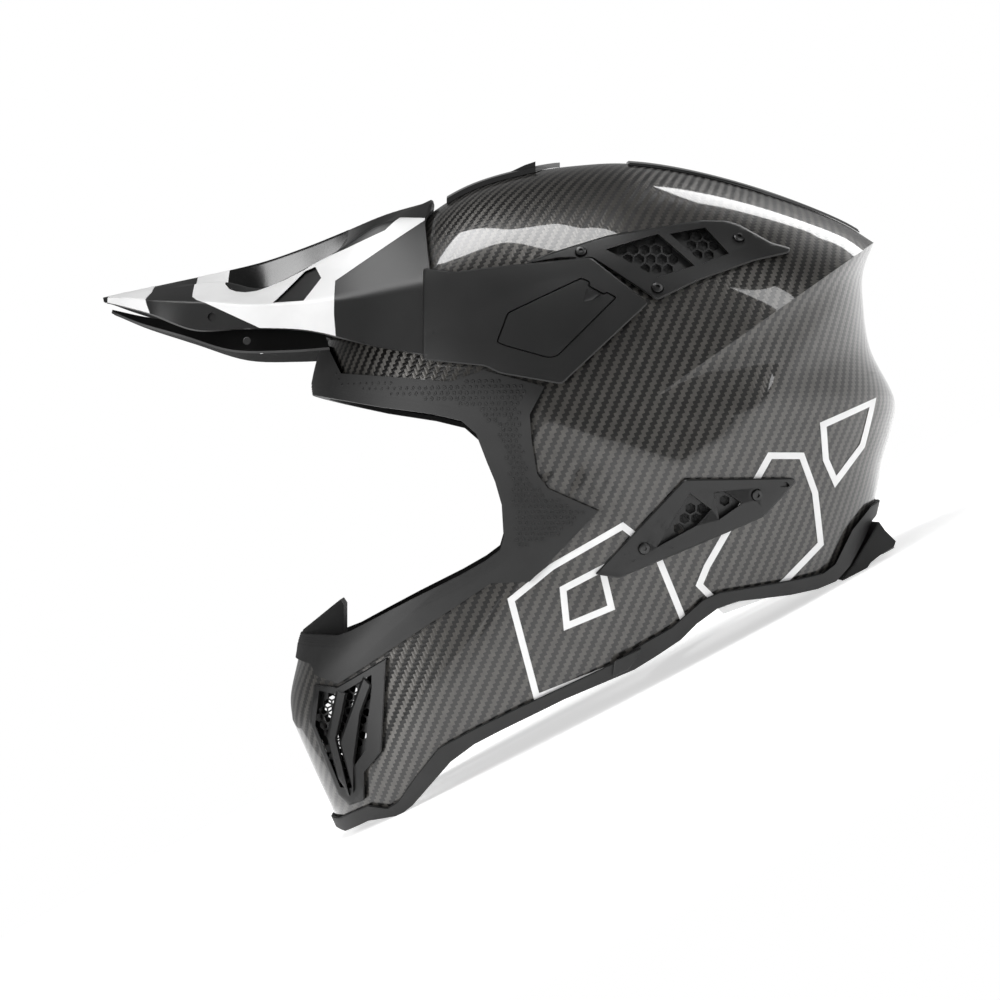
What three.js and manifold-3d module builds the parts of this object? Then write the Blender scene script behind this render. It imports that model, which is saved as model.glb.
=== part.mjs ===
// Motocross helmet, millimetres, +Z up, standing on a table.
// Row frame: the front faces -Y, the helmet's left side is +X, the table is z = 0.
// Every shape is drawn in a design frame, level as on a rider's head: x to the left side,
// y rearward and z up. The last group tips it nose-up by standTilt onto the table.

import * as THREE from 'three';
import { mergeVertices } from 'three/addons/utils/BufferGeometryUtils.js';
import Module from 'manifold-3d';

const wasm = await Module();
wasm.setup();

// ---------- driving dimensions ----------

const standTilt = THREE.MathUtils.degToRad(27.5);
const tableLevel = 128.3;      // table below the design origin, after tipping
const frontToBackShift = 43.5; // centre of the standing helmet, behind the design origin
const temple = { y: 68, z: 45 };
const templeHalfWidth = 122;
const fullness = 2.3;          // exponent of the form: 2 is an ellipsoid, more is boxier
const shellWall = 3;
const gap = 0.3;
const trimRise = 2.6;
const trimLip = 9;
const linerDepth = 44;         // from the shell's outer surface to the inside of the impact liner
const linerSideDepth = 34;     // the same at the sides of the head
const liningThickness = 6;
const liningChannel = 3;       // between two pads of the lining
const cheekInside = 54;        // half the free width between the cheek pads
const far = 170;               // beyond the widest point

const peakPivot = { y: 32, z: 94 };
const armClearance = 5;        // from the shell's surface to the peak's arm
const armFloor = 6;            // floor of the cover's recess, above the shell's surface
const armTop = 9.2;            // outer face of the arm, above the shell's surface
const coverUnder = 7.7;
const coverGap = 0.4;
const peakWall = 2.5;

const strapAnchor = { y: 42, z: -25 };
const strapSpan = 88;          // half the distance between the two hanging straps
const strapDrop = 74;
const strapThickness = 1.8;
const strapWidth = 22;
const rivetRadius = 4;

// ---------- solids ----------

function solidFrom(geometry) {
  const bare = geometry.index ? geometry.clone() : geometry;
  bare.deleteAttribute('normal');
  bare.deleteAttribute('uv');
  const merged = mergeVertices(bare, 1e-4);
  const vertices = merged.attributes.position.array;
  const triangles = Uint32Array.from(merged.index.array);
  if (signedVolume(vertices, triangles) < 0) flip(triangles);
  const mesh = new wasm.Mesh({ numProp: 3, vertProperties: Float32Array.from(vertices), triVerts: triangles });
  return new wasm.Manifold(mesh);
}

function signedVolume(vertices, triangles) {
  const a = new THREE.Vector3();
  const b = new THREE.Vector3();
  const c = new THREE.Vector3();
  let volume = 0;
  for (let i = 0; i < triangles.length; i += 3) {
    a.fromArray(vertices, 3 * triangles[i]);
    b.fromArray(vertices, 3 * triangles[i + 1]);
    c.fromArray(vertices, 3 * triangles[i + 2]);
    volume += a.dot(b.cross(c)) / 6;
  }
  return volume;
}

function flip(triangles) {
  for (let i = 0; i < triangles.length; i += 3) {
    const first = triangles[i];
    triangles[i] = triangles[i + 1];
    triangles[i + 1] = first;
  }
}

function geometryFrom(solid) {
  const mesh = solid.getMesh();
  const geometry = new THREE.BufferGeometry();
  geometry.setAttribute('position', new THREE.BufferAttribute(Float32Array.from(mesh.vertProperties), 3));
  geometry.setIndex(Array.from(mesh.triVerts));
  geometry.computeVertexNormals();
  return geometry;
}

// A prism along X of an outline given as [y, z] points.
function sidePrism(points, fromX, toX) {
  const shape = new THREE.Shape(points.map(([y, z]) => new THREE.Vector2(y, z)));
  const prism = new THREE.ExtrudeGeometry(shape, { depth: toX - fromX, bevelEnabled: false });
  prism.applyMatrix4(new THREE.Matrix4().makeBasis(
    new THREE.Vector3(0, 1, 0), new THREE.Vector3(0, 0, 1), new THREE.Vector3(1, 0, 0)));
  prism.translate(fromX, 0, 0);
  return solidFrom(prism);
}

// A prism along Z of an outline given as [x, y] points.
function topPrism(points, fromZ, toZ) {
  const shape = new THREE.Shape(points.map(([x, y]) => new THREE.Vector2(x, y)));
  const prism = new THREE.ExtrudeGeometry(shape, { depth: toZ - fromZ, bevelEnabled: false });
  prism.translate(0, 0, fromZ);
  return solidFrom(prism);
}

function sideOf(points, side) {
  return side > 0 ? sidePrism(points, 0, far) : sidePrism(points, -far, 0);
}

function across(points) {
  return sidePrism(points, -far, far);
}

function roundBar(y, z, radius, fromX, toX, sides = 16) {
  const bar = new THREE.CylinderGeometry(radius, radius, Math.abs(toX - fromX), sides);
  bar.rotateZ(Math.PI / 2);
  bar.translate((fromX + toX) / 2, y, z);
  return solidFrom(bar);
}

function box(sizeX, sizeY, sizeZ, x, y, z) {
  const block = new THREE.BoxGeometry(sizeX, sizeY, sizeZ);
  block.translate(x, y, z);
  return solidFrom(block);
}

// Moves every corner of an outline outward by a distance, along the mean of its two sides' normals.
function grown(points, distance) {
  const turn = Math.sign(THREE.ShapeUtils.area(points.map(([y, z]) => new THREE.Vector2(y, z))));
  return points.map((point, i) => {
    const before = points[(i + points.length - 1) % points.length];
    const after = points[(i + 1) % points.length];
    const inward = new THREE.Vector2(point[0] - before[0], point[1] - before[1]).normalize();
    const outward = new THREE.Vector2(after[0] - point[0], after[1] - point[1]).normalize();
    const along = inward.clone().add(outward).normalize();
    const stretch = distance / Math.max(0.5, along.dot(inward));
    return [point[0] + turn * along.y * stretch, point[1] - turn * along.x * stretch];
  });
}

// ---------- the helmet's outer form ----------

// The outline in side view: three smooth curves that meet at the tail tip and at the chin.
const chinFront = [-118, -125];
const chinBase = [-92, -183];
const tailTip = [212, 146];
const crownLine = [chinFront, [-119, -112], [-113, -80], [-112, -40], [-110, 15], [-106, 58], [-100, 84],
  [-86, 112], [-66, 138], [-43, 160], [-17, 176], [17, 186], [46, 190], [71, 191], [102, 187],
  [148, 175], [194, 157], tailTip];
const rearLine = [tailTip, [206, 129], [206, 112], [210, 86], [224, 56], [222, 40], [217, 22], [213, 0],
  [198, -52], [165, -105], [114, -150], [57, -190], [0, -208], [-50, -210], [-80, -198], chinBase];
const chinLine = [chinBase, chinFront];

function smooth(points, count) {
  const curve = new THREE.CatmullRomCurve3(points.map(([y, z]) => new THREE.Vector3(0, y, z)));
  return curve.getPoints(count).slice(0, count).map((point) => [point.y, point.z]);
}

function outline(crownCount, rearCount, chinCount) {
  return [...smooth(crownLine, crownCount), ...smooth(rearLine, rearCount), ...smooth(chinLine, chinCount)];
}

const outerOutline = outline(20, 14, 2);
const innerOutline = outline(12, 9, 1);
const fineOutline = outline(230, 170, 20).map(([y, z]) => ({
  angle: Math.atan2(z - temple.z, y - temple.y),
  radius: Math.hypot(y - temple.y, z - temple.z),
})).sort((one, two) => one.angle - two.angle);

function outlineRadius(angle) {
  const next = fineOutline.findIndex((sample) => sample.angle > angle);
  const high = fineOutline[Math.max(next, 0)];
  const low = fineOutline[(Math.max(next, 0) + fineOutline.length - 1) % fineOutline.length];
  const span = (high.angle - low.angle + 2 * Math.PI) % (2 * Math.PI);
  const share = ((angle - low.angle + 2 * Math.PI) % (2 * Math.PI)) / span;
  return low.radius + (high.radius - low.radius) * share;
}

// Creases: the surface rises in a tent along each line, so light breaks there.
const creases = [
  { rise: 5, reach: 34, line: [[209, 144], [176, 98], [130, 38], [97, 18], [59, 32], [26, 44]] },
  { rise: 3, reach: 26, line: [[130, 38], [180, 38], [213, 40]] },
  { rise: 3.5, reach: 22, line: [[-30, 125], [6, 146], [44, 160], [83, 165], [121, 162], [166, 152], [209, 144]] },
  { rise: 3, reach: 24, line: [[26, 44], [44, 22], [56, -4], [76, -41], [20, -99]] },
  { rise: 4, reach: 20, line: [[-106, -94], [-107, -124], [-92, -160]] },
];

function distanceTo(line, y, z) {
  let nearest = Infinity;
  for (let i = 1; i < line.length; i += 1) {
    const [y0, z0] = line[i - 1];
    const [dy, dz] = [line[i][0] - y0, line[i][1] - z0];
    const share = THREE.MathUtils.clamp(((y - y0) * dy + (z - z0) * dz) / (dy * dy + dz * dz), 0, 1);
    nearest = Math.min(nearest, Math.hypot(y - y0 - share * dy, z - z0 - share * dz));
  }
  return nearest;
}

function creaseRise(y, z) {
  return Math.max(...creases.map(({ rise, reach, line }) => rise * Math.exp(-distanceTo(line, y, z) / reach)));
}

// Half-width of the form at a share (0 at the temple, 1 at the outline) of the way out.
function widthAtShare(share, y, z, halfWidth) {
  const round = Math.max(0, 1 - share ** fullness) ** (1 / fullness);
  return halfWidth * round + creaseRise(y, z) * (1 - share ** 6);
}

// Half-width at a point of the side view, for the surface that lies inset below the outer one.
function widthAt(y, z, inset = 0) {
  const radius = Math.hypot(y - temple.y, z - temple.z);
  const edge = outlineRadius(Math.atan2(z - temple.z, y - temple.y)) - inset;
  return widthAtShare(Math.min(1, radius / edge), y, z, templeHalfWidth - inset);
}

const outerShares = [1, 0.98, 0.93, 0.84, 0.71, 0.53, 0.28];
const innerShares = [1, 0.95, 0.82, 0.6, 0.3];
const coarseBelow = 30;        // surfaces deeper than this are hidden, and use the coarse samples

// The closed form whose outline and width are inset by the given amounts; negative is outside.
function makeForm(radialInset, lateralInset) {
  const vertices = [];
  const triangles = [];
  const deep = radialInset >= coarseBelow;
  const samples = deep ? innerOutline : outerOutline;
  const shares = deep ? innerShares : outerShares;
  const count = samples.length;
  const rings = shares.length;
  for (const side of [1, -1]) {
    for (const share of shares) {
      for (const [y, z] of samples) {
        const full = Math.hypot(y - temple.y, z - temple.z);
        const scale = share * (full - radialInset) / full;
        const y1 = temple.y + (y - temple.y) * scale;
        const z1 = temple.z + (z - temple.z) * scale;
        const x = share === 1 ? 0 : widthAtShare(share, y1, z1, templeHalfWidth - lateralInset);
        vertices.push(side * x, y1, z1);
      }
    }
    vertices.push(side * widthAtShare(0, temple.y, temple.z, templeHalfWidth - lateralInset), temple.y, temple.z);
  }
  const half = rings * count + 1;
  for (const start of [0, half]) {
    const turned = start > 0;
    for (let ring = 0; ring < rings; ring += 1) {
      for (let i = 0; i < count; i += 1) {
        const j = (i + 1) % count;
        const a = start + ring * count + i;
        const b = start + ring * count + j;
        const last = ring === rings - 1;
        const c = last ? start + rings * count : a + count;
        const d = b + count;
        triangles.push(...(turned ? [a, b, c] : [a, c, b]));
        if (!last) triangles.push(...(turned ? [b, d, c] : [b, c, d]));
      }
    }
  }
  const geometry = new THREE.BufferGeometry();
  geometry.setAttribute('position', new THREE.Float32BufferAttribute(vertices, 3));
  geometry.setIndex(triangles);
  return solidFrom(geometry);
}

const madeForms = new Map();

function form(radialInset, lateralInset = radialInset) {
  const key = `${radialInset},${lateralInset}`;
  if (!madeForms.has(key)) madeForms.set(key, makeForm(radialInset, lateralInset));
  return madeForms.get(key);
}

// The skin between two depths below the outer surface.
function layer(outer, inner) {
  return form(outer).subtract(form(inner));
}

// ---------- side-view outlines ----------

const portEdge = [[-114, 61], [-91, 56], [-66, 51], [-38, 47], [-21, 43], [-13, 36], [-8, 23], [-3, 11],
  [1, -3], [2, -20], [0, -27], [-8, -33], [-22, -41], [-48, -54], [-67, -64], [-82, -72], [-90, -75]];
const port = [[-far, 61], ...portEdge, [-far, -75]];
const trimOutline = [[-far, 87], [-97, 87], [-88, 70], [-27, 64], [-9, 70], [24, 61], [16, 46], [17, 32],
  [20, 14], [26, 6], [53, -6], [29, -31], [16, -44], [-5, -45], [-62, -83], [-89, -101], [-102, -97],
  [-105, -91], [-far, -79]];
const noseGuard = [[-112, -79], [-111, -73], [-95, -60], [-90, -56], [-88, -59], [-88, -76], [-96, -82]];

const rimBottom = [[-94, -185], [-87, -186], [-73, -178], [-55, -174], [-48, -168], [-38, -156], [-27, -143],
  [-14, -133], [1, -125], [35, -108], [73, -92], [86, -84], [98, -76], [107, -67], [118, -59], [130, -55],
  [159, -52], [175, -49], [186, -45], [194, -37], [202, -24], [209, -11], [217, -5]];
const rimTop = [[-97, -179], [-90, -178], [-81, -173], [-73, -169], [-62, -170], [-56, -166], [-45, -150],
  [-33, -135], [-15, -125], [11, -112], [62, -88], [77, -78], [93, -69], [110, -54], [119, -50], [164, -43],
  [178, -40], [185, -35], [195, -16], [207, -3], [219, 2]];

function below(line) {
  return [[-far, line[0][1]], ...line, [260, line[line.length - 1][1]], [260, -260], [-far, -260]];
}

const upperVentOutline = [[14, 129], [33, 136], [59, 144], [88, 149], [109, 153], [124, 153], [131, 151],
  [148, 141], [159, 138], [158, 135], [138, 130], [108, 119], [85, 108], [68, 119], [50, 131], [33, 131]];
const upperVentWindows = [
  [[60, 135], [90, 145], [104, 125], [83, 120]],
  [[97, 143], [113, 149], [123, 135], [109, 129]],
];
const upperVentScrews = [[44, 134], [85, 114], [130, 142]];
const sideVentOutline = [[51, -40], [99, 11], [159, 12], [161, 10], [143, -9], [129, -15], [64, -42]];
const sideVentWindows = [
  [[85, -24], [102, 4], [115, -3], [106, -14]],
  [[115, 4], [125, 4], [131, -2], [119, -11]],
];
const sideVentScrews = [[77, -26], [138, 3]];
const chinVentOutline = [[-90, -103], [-62, -86], [-65, -138], [-75, -150], [-75, -166], [-84, -170],
  [-90, -165], [-106, -124], [-103, -102]];
const chinVentWindow = [[-97, -108], [-80, -103], [-82, -140], [-85, -156], [-99, -124]];
const chinFin = [[-91, -106], [-87, -106], [-92, -126], [-84, -158], [-87, -158], [-96, -126]];

const armOutline = [[-42, 127], [-24, 124], [4, 127], [49, 131], [80, 106], [33, 62], [0, 68], [-8, 72],
  [-42, 76]];
const coverOutline = [[-2, 85], [4, 101], [44, 120], [49, 117], [63, 109], [31, 77], [26, 76], [2, 83]];
const coverWedge = [[42, 117], [49, 113], [56, 107], [50, 105]];

// ---------- colours ----------

function finish(colour, roughness, metalness = 0) {
  return () => new THREE.MeshStandardMaterial({ color: colour, roughness, metalness });
}

const carbon = finish(0x2b2a28, 0.2);
const blackRubber = finish(0x141414, 0.8);
const satinBlack = finish(0x121212, 0.5);
const glossBlack = finish(0x0a0a0a, 0.15);
const peakBlack = finish(0x18181a, 0.55);
const blackFoam = finish(0x1b1b1d, 0.95);
const blackFabric = finish(0x17171a, 0.95);
const webbing = finish(0x101012, 0.85);
const steel = finish(0x9a9a9c, 0.3, 1);
const blackSteel = finish(0x1a1a1c, 0.35, 1);
const greyPlastic = finish(0x6a6a6c, 0.6);
const redFabric = finish(0x9c1c1c, 0.9);

const design = new THREE.Group();

function add(name, solid, material, parent = design) {
  const mesh = new THREE.Mesh(geometryFrom(solid), material());
  mesh.name = name;
  parent.add(mesh);
}

const sides = [['left', 1], ['right', -1]];

// ---------- shell and liner ----------

function shell() {
  let body = layer(0, shellWall);
  body = body.subtract(across(grown(port, 3)));
  body = body.subtract(across(below(rimBottom.map(([y, z]) => [y, z + 3]))));
  for (const [, side] of sides) {
    for (const window of [...upperVentWindows, ...sideVentWindows, chinVentWindow]) {
      body = body.subtract(sideOf(window, side));
    }
    body = body.subtract(roundBar(peakPivot.y, peakPivot.z, 4.4, 0, side * far));
  }
  return body;
}

const linerBottom = [[-far, 64], [-70, 58], [-38, 54], [-14, 49], [2, 34], [8, 5], [85, 5], [120, -27],
  [160, -24], [186, -16], [260, 8]];

function impactLiner() {
  const bottom = [...linerBottom, [260, -260], [-far, -260]];
  const body = form(shellWall + gap).subtract(form(linerDepth, linerSideDepth));
  return body.subtract(across(bottom)).subtract(across(grown(port, 4)));
}

const liningPads = [
  { name: 'brow_pad', from: -far, to: 14 },
  { name: 'crown_pad', from: 14 + liningChannel, to: 104 },
  { name: 'nape_pad', from: 104 + liningChannel, to: 260 },
];

function liningPad({ from, to }) {
  const lining = form(linerDepth + gap, linerSideDepth + gap).subtract(
    form(linerDepth + liningThickness, linerSideDepth + liningThickness));
  const bottom = [[-far, 72], [-40, 70], [20, 38], [120, 32], [260, 60], [260, -260], [-far, -260]];
  const slice = [[from, -260], [to, -260], [to, 260], [from, 260]];
  return lining.subtract(across(bottom)).intersect(across(slice));
}

function chinFoam() {
  const region = [[-far, -108], [-97, -104], [-80, -87], [-66, -75], [-52, -68], [-52, -156], [-64, -165],
    [-84, -172], [-far, -168]];
  let body = layer(shellWall + 3, 22).intersect(across(region));
  for (const [, side] of sides) body = body.subtract(sideOf(grown(chinVentWindow, 1), side));
  return body;
}

function cheekPad(side) {
  const region = [[10, -1], [18, -1], [20, -18], [26, -36], [39, -95], [18, -104], [-10, -118], [-36, -140],
    [-48, -154], [-48, -66], [-24, -52], [-4, -43], [8, -32]];
  const middle = box(2 * cheekInside, 300, 300, 0, 0, -100);
  return layer(trimLip + 1, 44).intersect(sideOf(region, side)).subtract(middle);
}

function neckRoll() {
  const region = [[122, -47], [122, -30], [160, -27], [186, -19], [204, -12], [196, -26], [186, -34],
    [160, -42]];
  return form(trimLip + 1).subtract(form(30, 34)).intersect(across(region));
}

add('shell', shell(), carbon);
add('impact_liner', impactLiner(), blackFoam);
for (const pad of liningPads) add(pad.name, liningPad(pad), blackFabric);
add('chin_foam', chinFoam(), blackFoam);
add('neck_roll', neckRoll(), blackFabric);
for (const [name, side] of sides) add(`cheek_pad_${name}`, cheekPad(side), blackFabric);

// ---------- rubber trims ----------

function eyeportTrim() {
  const opening = across(port);
  const face = layer(-trimRise, -gap).intersect(across(trimOutline)).subtract(opening);
  const edge = layer(-trimRise, trimLip).intersect(across(grown(port, 3 - gap))).subtract(opening);
  const wallAround = layer(-gap, shellWall + gap).subtract(across(grown(port, 3 - gap)));
  const nose = sidePrism(noseGuard, -26, 26).subtract(wallAround);
  return face.add(edge).add(nose);
}

function rimTrim() {
  const underside = across(below(rimBottom));
  const face = layer(-trimRise, -gap).intersect(across(below(rimTop)));
  const edge = layer(-trimRise, trimLip).intersect(across(below(rimBottom.map(([y, z]) => [y, z + 3 - gap]))));
  return face.add(edge).subtract(underside);
}

function rimClip(side) {
  const region = [[61, -96], [70, -92], [77, -80], [62, -87]];
  return layer(-trimRise - 1.8, -trimRise - gap).intersect(sideOf(region, side));
}

// Everything below the table is cut away, which leaves flat places to stand on.
function standingOnTable(solid) {
  const slab = new THREE.BoxGeometry(600, 900, 200);
  slab.translate(0, 0, -100 - tableLevel);
  slab.rotateX(standTilt);
  return solid.subtract(solidFrom(slab));
}

add('eyeport_trim', eyeportTrim(), blackRubber);
add('rim_trim', standingOnTable(rimTrim()), blackRubber);
for (const [name, side] of sides) add(`rim_joint_clip_${name}`, rimClip(side), blackRubber);

// ---------- vents ----------

const frameRise = 3.2;
const chinVentRise = 3;
const cowlRise = 3;
const stripRise = 1.6;
const screwRadius = 2;
const screwHeadRadius = 3.2;
const grilleInset = 0.6;       // from the shell's two surfaces to the two faces of a grille

function ventFrame(region, windows, screws, side) {
  let body = layer(-frameRise, -gap).intersect(sideOf(region, side));
  for (const window of windows) body = body.subtract(sideOf(window, side));
  for (const [y, z] of screws) body = body.subtract(roundBar(y, z, screwRadius + gap, 0, side * far, 10));
  return body;
}

function grille(window, side) {
  return layer(grilleInset, shellWall - grilleInset).intersect(sideOf(grown(window, -gap), side));
}

function ventScrew([y, z], side) {
  const shaft = layer(-frameRise - gap - 0.5, -gap).intersect(
    roundBar(y, z, screwRadius, 0, side * far, 10));
  const head = layer(-frameRise - 1.4, -frameRise - gap).intersect(
    roundBar(y, z, screwHeadRadius, 0, side * far, 10));
  return shaft.add(head);
}

for (const [name, side] of sides) {
  add(`upper_vent_${name}`, ventFrame(upperVentOutline, upperVentWindows, upperVentScrews, side), satinBlack);
  add(`side_vent_${name}`, ventFrame(sideVentOutline, sideVentWindows, sideVentScrews, side), satinBlack);
  upperVentWindows.forEach((window, i) => {
    add(`upper_grille_${name}_${i + 1}`, grille(window, side), satinBlack);
  });
  sideVentWindows.forEach((window, i) => {
    add(`side_grille_${name}_${i + 1}`, grille(window, side), satinBlack);
  });
  upperVentScrews.forEach((place, i) => {
    add(`upper_screw_${name}_${i + 1}`, ventScrew(place, side), blackSteel);
  });
  sideVentScrews.forEach((place, i) => {
    add(`side_screw_${name}_${i + 1}`, ventScrew(place, side), blackSteel);
  });
}

function chinVent(side) {
  const plate = layer(-chinVentRise, -gap);
  const rim = plate.intersect(sideOf(chinVentOutline, side)).subtract(sideOf(chinVentWindow, side));
  return rim.add(plate.intersect(sideOf(chinFin, side)));
}

for (const [name, side] of sides) {
  add(`chin_vent_${name}`, chinVent(side), satinBlack);
  add(`chin_mesh_${name}`, grille(chinVentWindow, side), satinBlack);
}

// The cowl over the forehead intakes, with four fins along it.
function foreheadVent() {
  const plan = [[-30, -30], [30, -30], [30, 20], [8, 34], [-8, 34], [-30, 20]];
  let body = layer(-cowlRise, -gap).intersect(topPrism(plan, 120, 220));
  for (const x of [-21, -7, 7, 21]) {
    const fin = [[-27, 150], [-24, 172], [-3, 181], [14, 189], [20, 191], [20, 150]];
    body = body.add(sidePrism(fin, x - 1.5, x + 1.5).subtract(form(-gap)));
  }
  return body;
}

// Gloss strip over the crown that runs to the tail tip.
function crownStrip() {
  const plan = [[-34, 72], [34, 72], [32, 150], [20, 203], [-20, 203], [-32, 150]];
  return layer(-stripRise, -gap).intersect(topPrism(plan, 149, 230));
}

add('forehead_vent', foreheadVent(), glossBlack);
add('crown_strip', crownStrip(), glossBlack);

// ---------- rear neck plate ----------

function neckPlate() {
  const section = [[190.6, -44.5], [197, -36.4], [204.8, -23.6], [211.6, -12.2], [215, -17], [221, -23],
    [220, -26], [212, -31], [207, -35], [203, -41], [199, -45], [194, -47]];
  return standingOnTable(sidePrism(section, -46, 46));
}

function neckTab() {
  const section = [[213.4, -30.2], [220.6, -25.8], [224, -27], [217, -30.8]];
  return sidePrism(section, -12, 12);
}

add('neck_plate', neckPlate(), blackRubber);
add('neck_tab', neckTab(), greyPlastic);

// ---------- peak ----------

// A closed sheet between an outer grid of points and the same grid moved inward by its wall.
function sheet(rows, wall, side) {
  const rowCount = rows.length;
  const columnCount = rows[0].length;
  const outer = [];
  for (const row of rows) for (const [x, y, z] of row) outer.push(side * x, y, z);
  const surface = new THREE.BufferGeometry();
  surface.setAttribute('position', new THREE.Float32BufferAttribute(outer, 3));
  const faces = [];
  const at = (row, column) => row * columnCount + column;
  for (let row = 1; row < rowCount; row += 1) {
    for (let column = 1; column < columnCount; column += 1) {
      faces.push(at(row - 1, column - 1), at(row, column - 1), at(row, column));
      faces.push(at(row - 1, column - 1), at(row, column), at(row - 1, column));
    }
  }
  surface.setIndex(faces);
  surface.computeVertexNormals();
  const normals = surface.attributes.normal.array;
  const count = rowCount * columnCount;
  const inner = outer.map((value, i) => {
    const onCentre = i % 3 === 0 && Math.abs(outer[i]) < 0.6;
    return onCentre ? value : value + wall * normals[i];
  });
  const backFaces = faces.map((_, i) => faces[i - (i % 3) + 2 - (i % 3)] + count);
  const rim = [];
  for (let column = 0; column < columnCount; column += 1) rim.push(at(0, column));
  for (let row = 1; row < rowCount; row += 1) rim.push(at(row, columnCount - 1));
  for (let column = columnCount - 2; column >= 0; column -= 1) rim.push(at(rowCount - 1, column));
  for (let row = rowCount - 2; row > 0; row -= 1) rim.push(at(row, 0));
  const edge = rim.flatMap((one, i) => {
    const two = rim[(i + 1) % rim.length];
    return [one, two, two + count, one, two + count, one + count];
  });
  const geometry = new THREE.BufferGeometry();
  geometry.setAttribute('position', new THREE.Float32BufferAttribute([...outer, ...inner], 3));
  geometry.setIndex([...faces, ...backFaces, ...edge]);
  return solidFrom(geometry);
}

// Rows of the peak's left half from the centre line out, each from the tip to the rear edge.
const overlap = -0.3;
const armMiddle = (armClearance + armTop) / 2;
const peakRows = [
  [[overlap, -226, 115.5], [overlap, -205, 120], [overlap, -182, 125], [overlap, -155, 131], [overlap, -133, 137],
    [overlap, -110, 145], [overlap, -90, 153], [overlap, -65, 163], [overlap, -38, 170.5]],
  [[3, -226, 115], [10, -206, 118.5], [15, -183, 122], [18, -156, 121], [20, -133, 115.5], [20, -110, 125],
    [20, -91, 134], [20, -66, 156], [22, -39, 169.5]],
  [[5, -225.5, 115], [18, -207, 117], [26, -184, 119.5], [33, -156, 122.5], [38, -133, 119], [42, -109, 129.5],
    [44, -92, 139], [48, -67, 154], [52, -42, 156]],
  [[8, -225, 114.5], [30, -209, 113.5], [50, -193, 111.5], [66, -163, 109.5], [76, -137, 107.5], [80, -112, 108.5],
    [82, -96, 110], [85, -70, 113.5], [widthAt(-38, 120) + armMiddle + 1.2, -38, 120]],
  [[9, -224.5, 112.5], [33, -210, 108.5], [58, -191, 102.5], [70, -168, 94], [78, -141, 94.5], [84, -115, 94],
    [88, -97, 91.5], [94, -70, 84.5], [widthAt(-36, 78) + armMiddle + 1.2, -36, 78]],
];

function peakArm(side) {
  let arm = layer(-armTop, -armClearance).intersect(sideOf(armOutline, side));
  const recess = form(-armTop - 5).subtract(form(-armFloor)).intersect(sideOf(coverOutline, side));
  arm = arm.subtract(recess);
  return arm.subtract(roundBar(peakPivot.y, peakPivot.z, 4.5, 0, side * far));
}

function peakShell() {
  let body = sheet(peakRows, -peakWall, 1).add(sheet(peakRows, -peakWall, -1));
  for (const [, side] of sides) body = body.add(peakArm(side));
  return body;
}

const trayRows = [
  [[overlap, -221, 108.5], [overlap, -200, 104], [overlap, -172, 100], [overlap, -142, 98], [overlap, -116, 97],
    [overlap, -104, 96.5]],
  [[3, -220.5, 108], [22, -201, 103.5], [48, -174, 99.5], [58, -144, 97.5], [64, -114, 96.5], [67, -98, 96]],
  [[5, -220, 107], [27, -202, 99.5], [56, -176, 91.5], [68, -148, 83], [74, -118, 82.5], [78, -94, 84]],
];

function peakTray() {
  const holes = roundBar(-140, 88, 2.2, -far, far, 12);
  return sheet(trayRows, -2, 1).add(sheet(trayRows, -2, -1)).subtract(holes);
}

function pivotCover(side) {
  const plate = layer(-armTop, -coverUnder).intersect(sideOf(grown(coverOutline, -coverGap), side));
  const wedge = layer(-armTop - 1.6, -coverUnder).intersect(sideOf(coverWedge, side));
  return plate.add(wedge);
}

function pivotScrew(side) {
  const shaft = layer(-armFloor - gap - 0.5, shellWall).intersect(
    roundBar(peakPivot.y, peakPivot.z, rivetRadius, 0, side * far));
  const head = layer(-armFloor - 1.3, -armFloor - gap - 0.1).intersect(
    roundBar(peakPivot.y, peakPivot.z, 7, 0, side * far));
  return shaft.add(head);
}

add('peak_shell', peakShell(), peakBlack);
add('peak_underplate', peakTray(), satinBlack);
for (const [name, side] of sides) {
  add(`pivot_cover_${name}`, pivotCover(side), peakBlack);
  add(`peak_screw_${name}`, pivotScrew(side), blackSteel);
}

// ---------- chin strap, hanging buckled between its two rivets ----------

const hanging = new THREE.Group();
hanging.position.set(0, strapAnchor.y, strapAnchor.z);
hanging.rotation.x = standTilt;
design.add(hanging);

// A band that follows the hanging half-oval, between two angles and two offsets from its line.
function hangingBand(fromDegrees, toDegrees, outside, inside, width, steps) {
  const points = [];
  for (const [offset, turned] of [[outside, false], [inside, true]]) {
    for (let i = 0; i <= steps; i += 1) {
      const share = turned ? 1 - i / steps : i / steps;
      const angle = THREE.MathUtils.degToRad(fromDegrees + (toDegrees - fromDegrees) * share);
      const x = (strapSpan + offset) * Math.cos(angle);
      const z = -(strapDrop + offset) * Math.sin(angle);
      points.push([x, z]);
    }
  }
  return frontPrism(points, -width / 2, width / 2);
}

// A prism along Y of an outline given as [x, z] points.
function frontPrism(points, fromY, toY) {
  const shape = new THREE.Shape(points.map(([x, z]) => new THREE.Vector2(x, z)));
  const prism = new THREE.ExtrudeGeometry(shape, { depth: toY - fromY, bevelEnabled: false });
  prism.rotateX(Math.PI / 2);
  prism.translate(0, toY, 0);
  return solidFrom(prism);
}

const bandHalf = strapThickness / 2;

function strapEnd(side) {
  return roundBar(0, 0, strapWidth / 2, side * (strapSpan - bandHalf), side * (strapSpan + bandHalf), 20);
}

const buckleAngle = 132;
const buckleRadians = THREE.MathUtils.degToRad(buckleAngle);
const buckle = new THREE.Vector3(strapSpan * Math.cos(buckleRadians), 0, -strapDrop * Math.sin(buckleRadians));
const buckleTangent = new THREE.Vector3(strapSpan * Math.sin(buckleRadians), 0,
  strapDrop * Math.cos(buckleRadians)).normalize();
const buckleTurn = Math.atan2(buckleTangent.z, buckleTangent.x);

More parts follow.
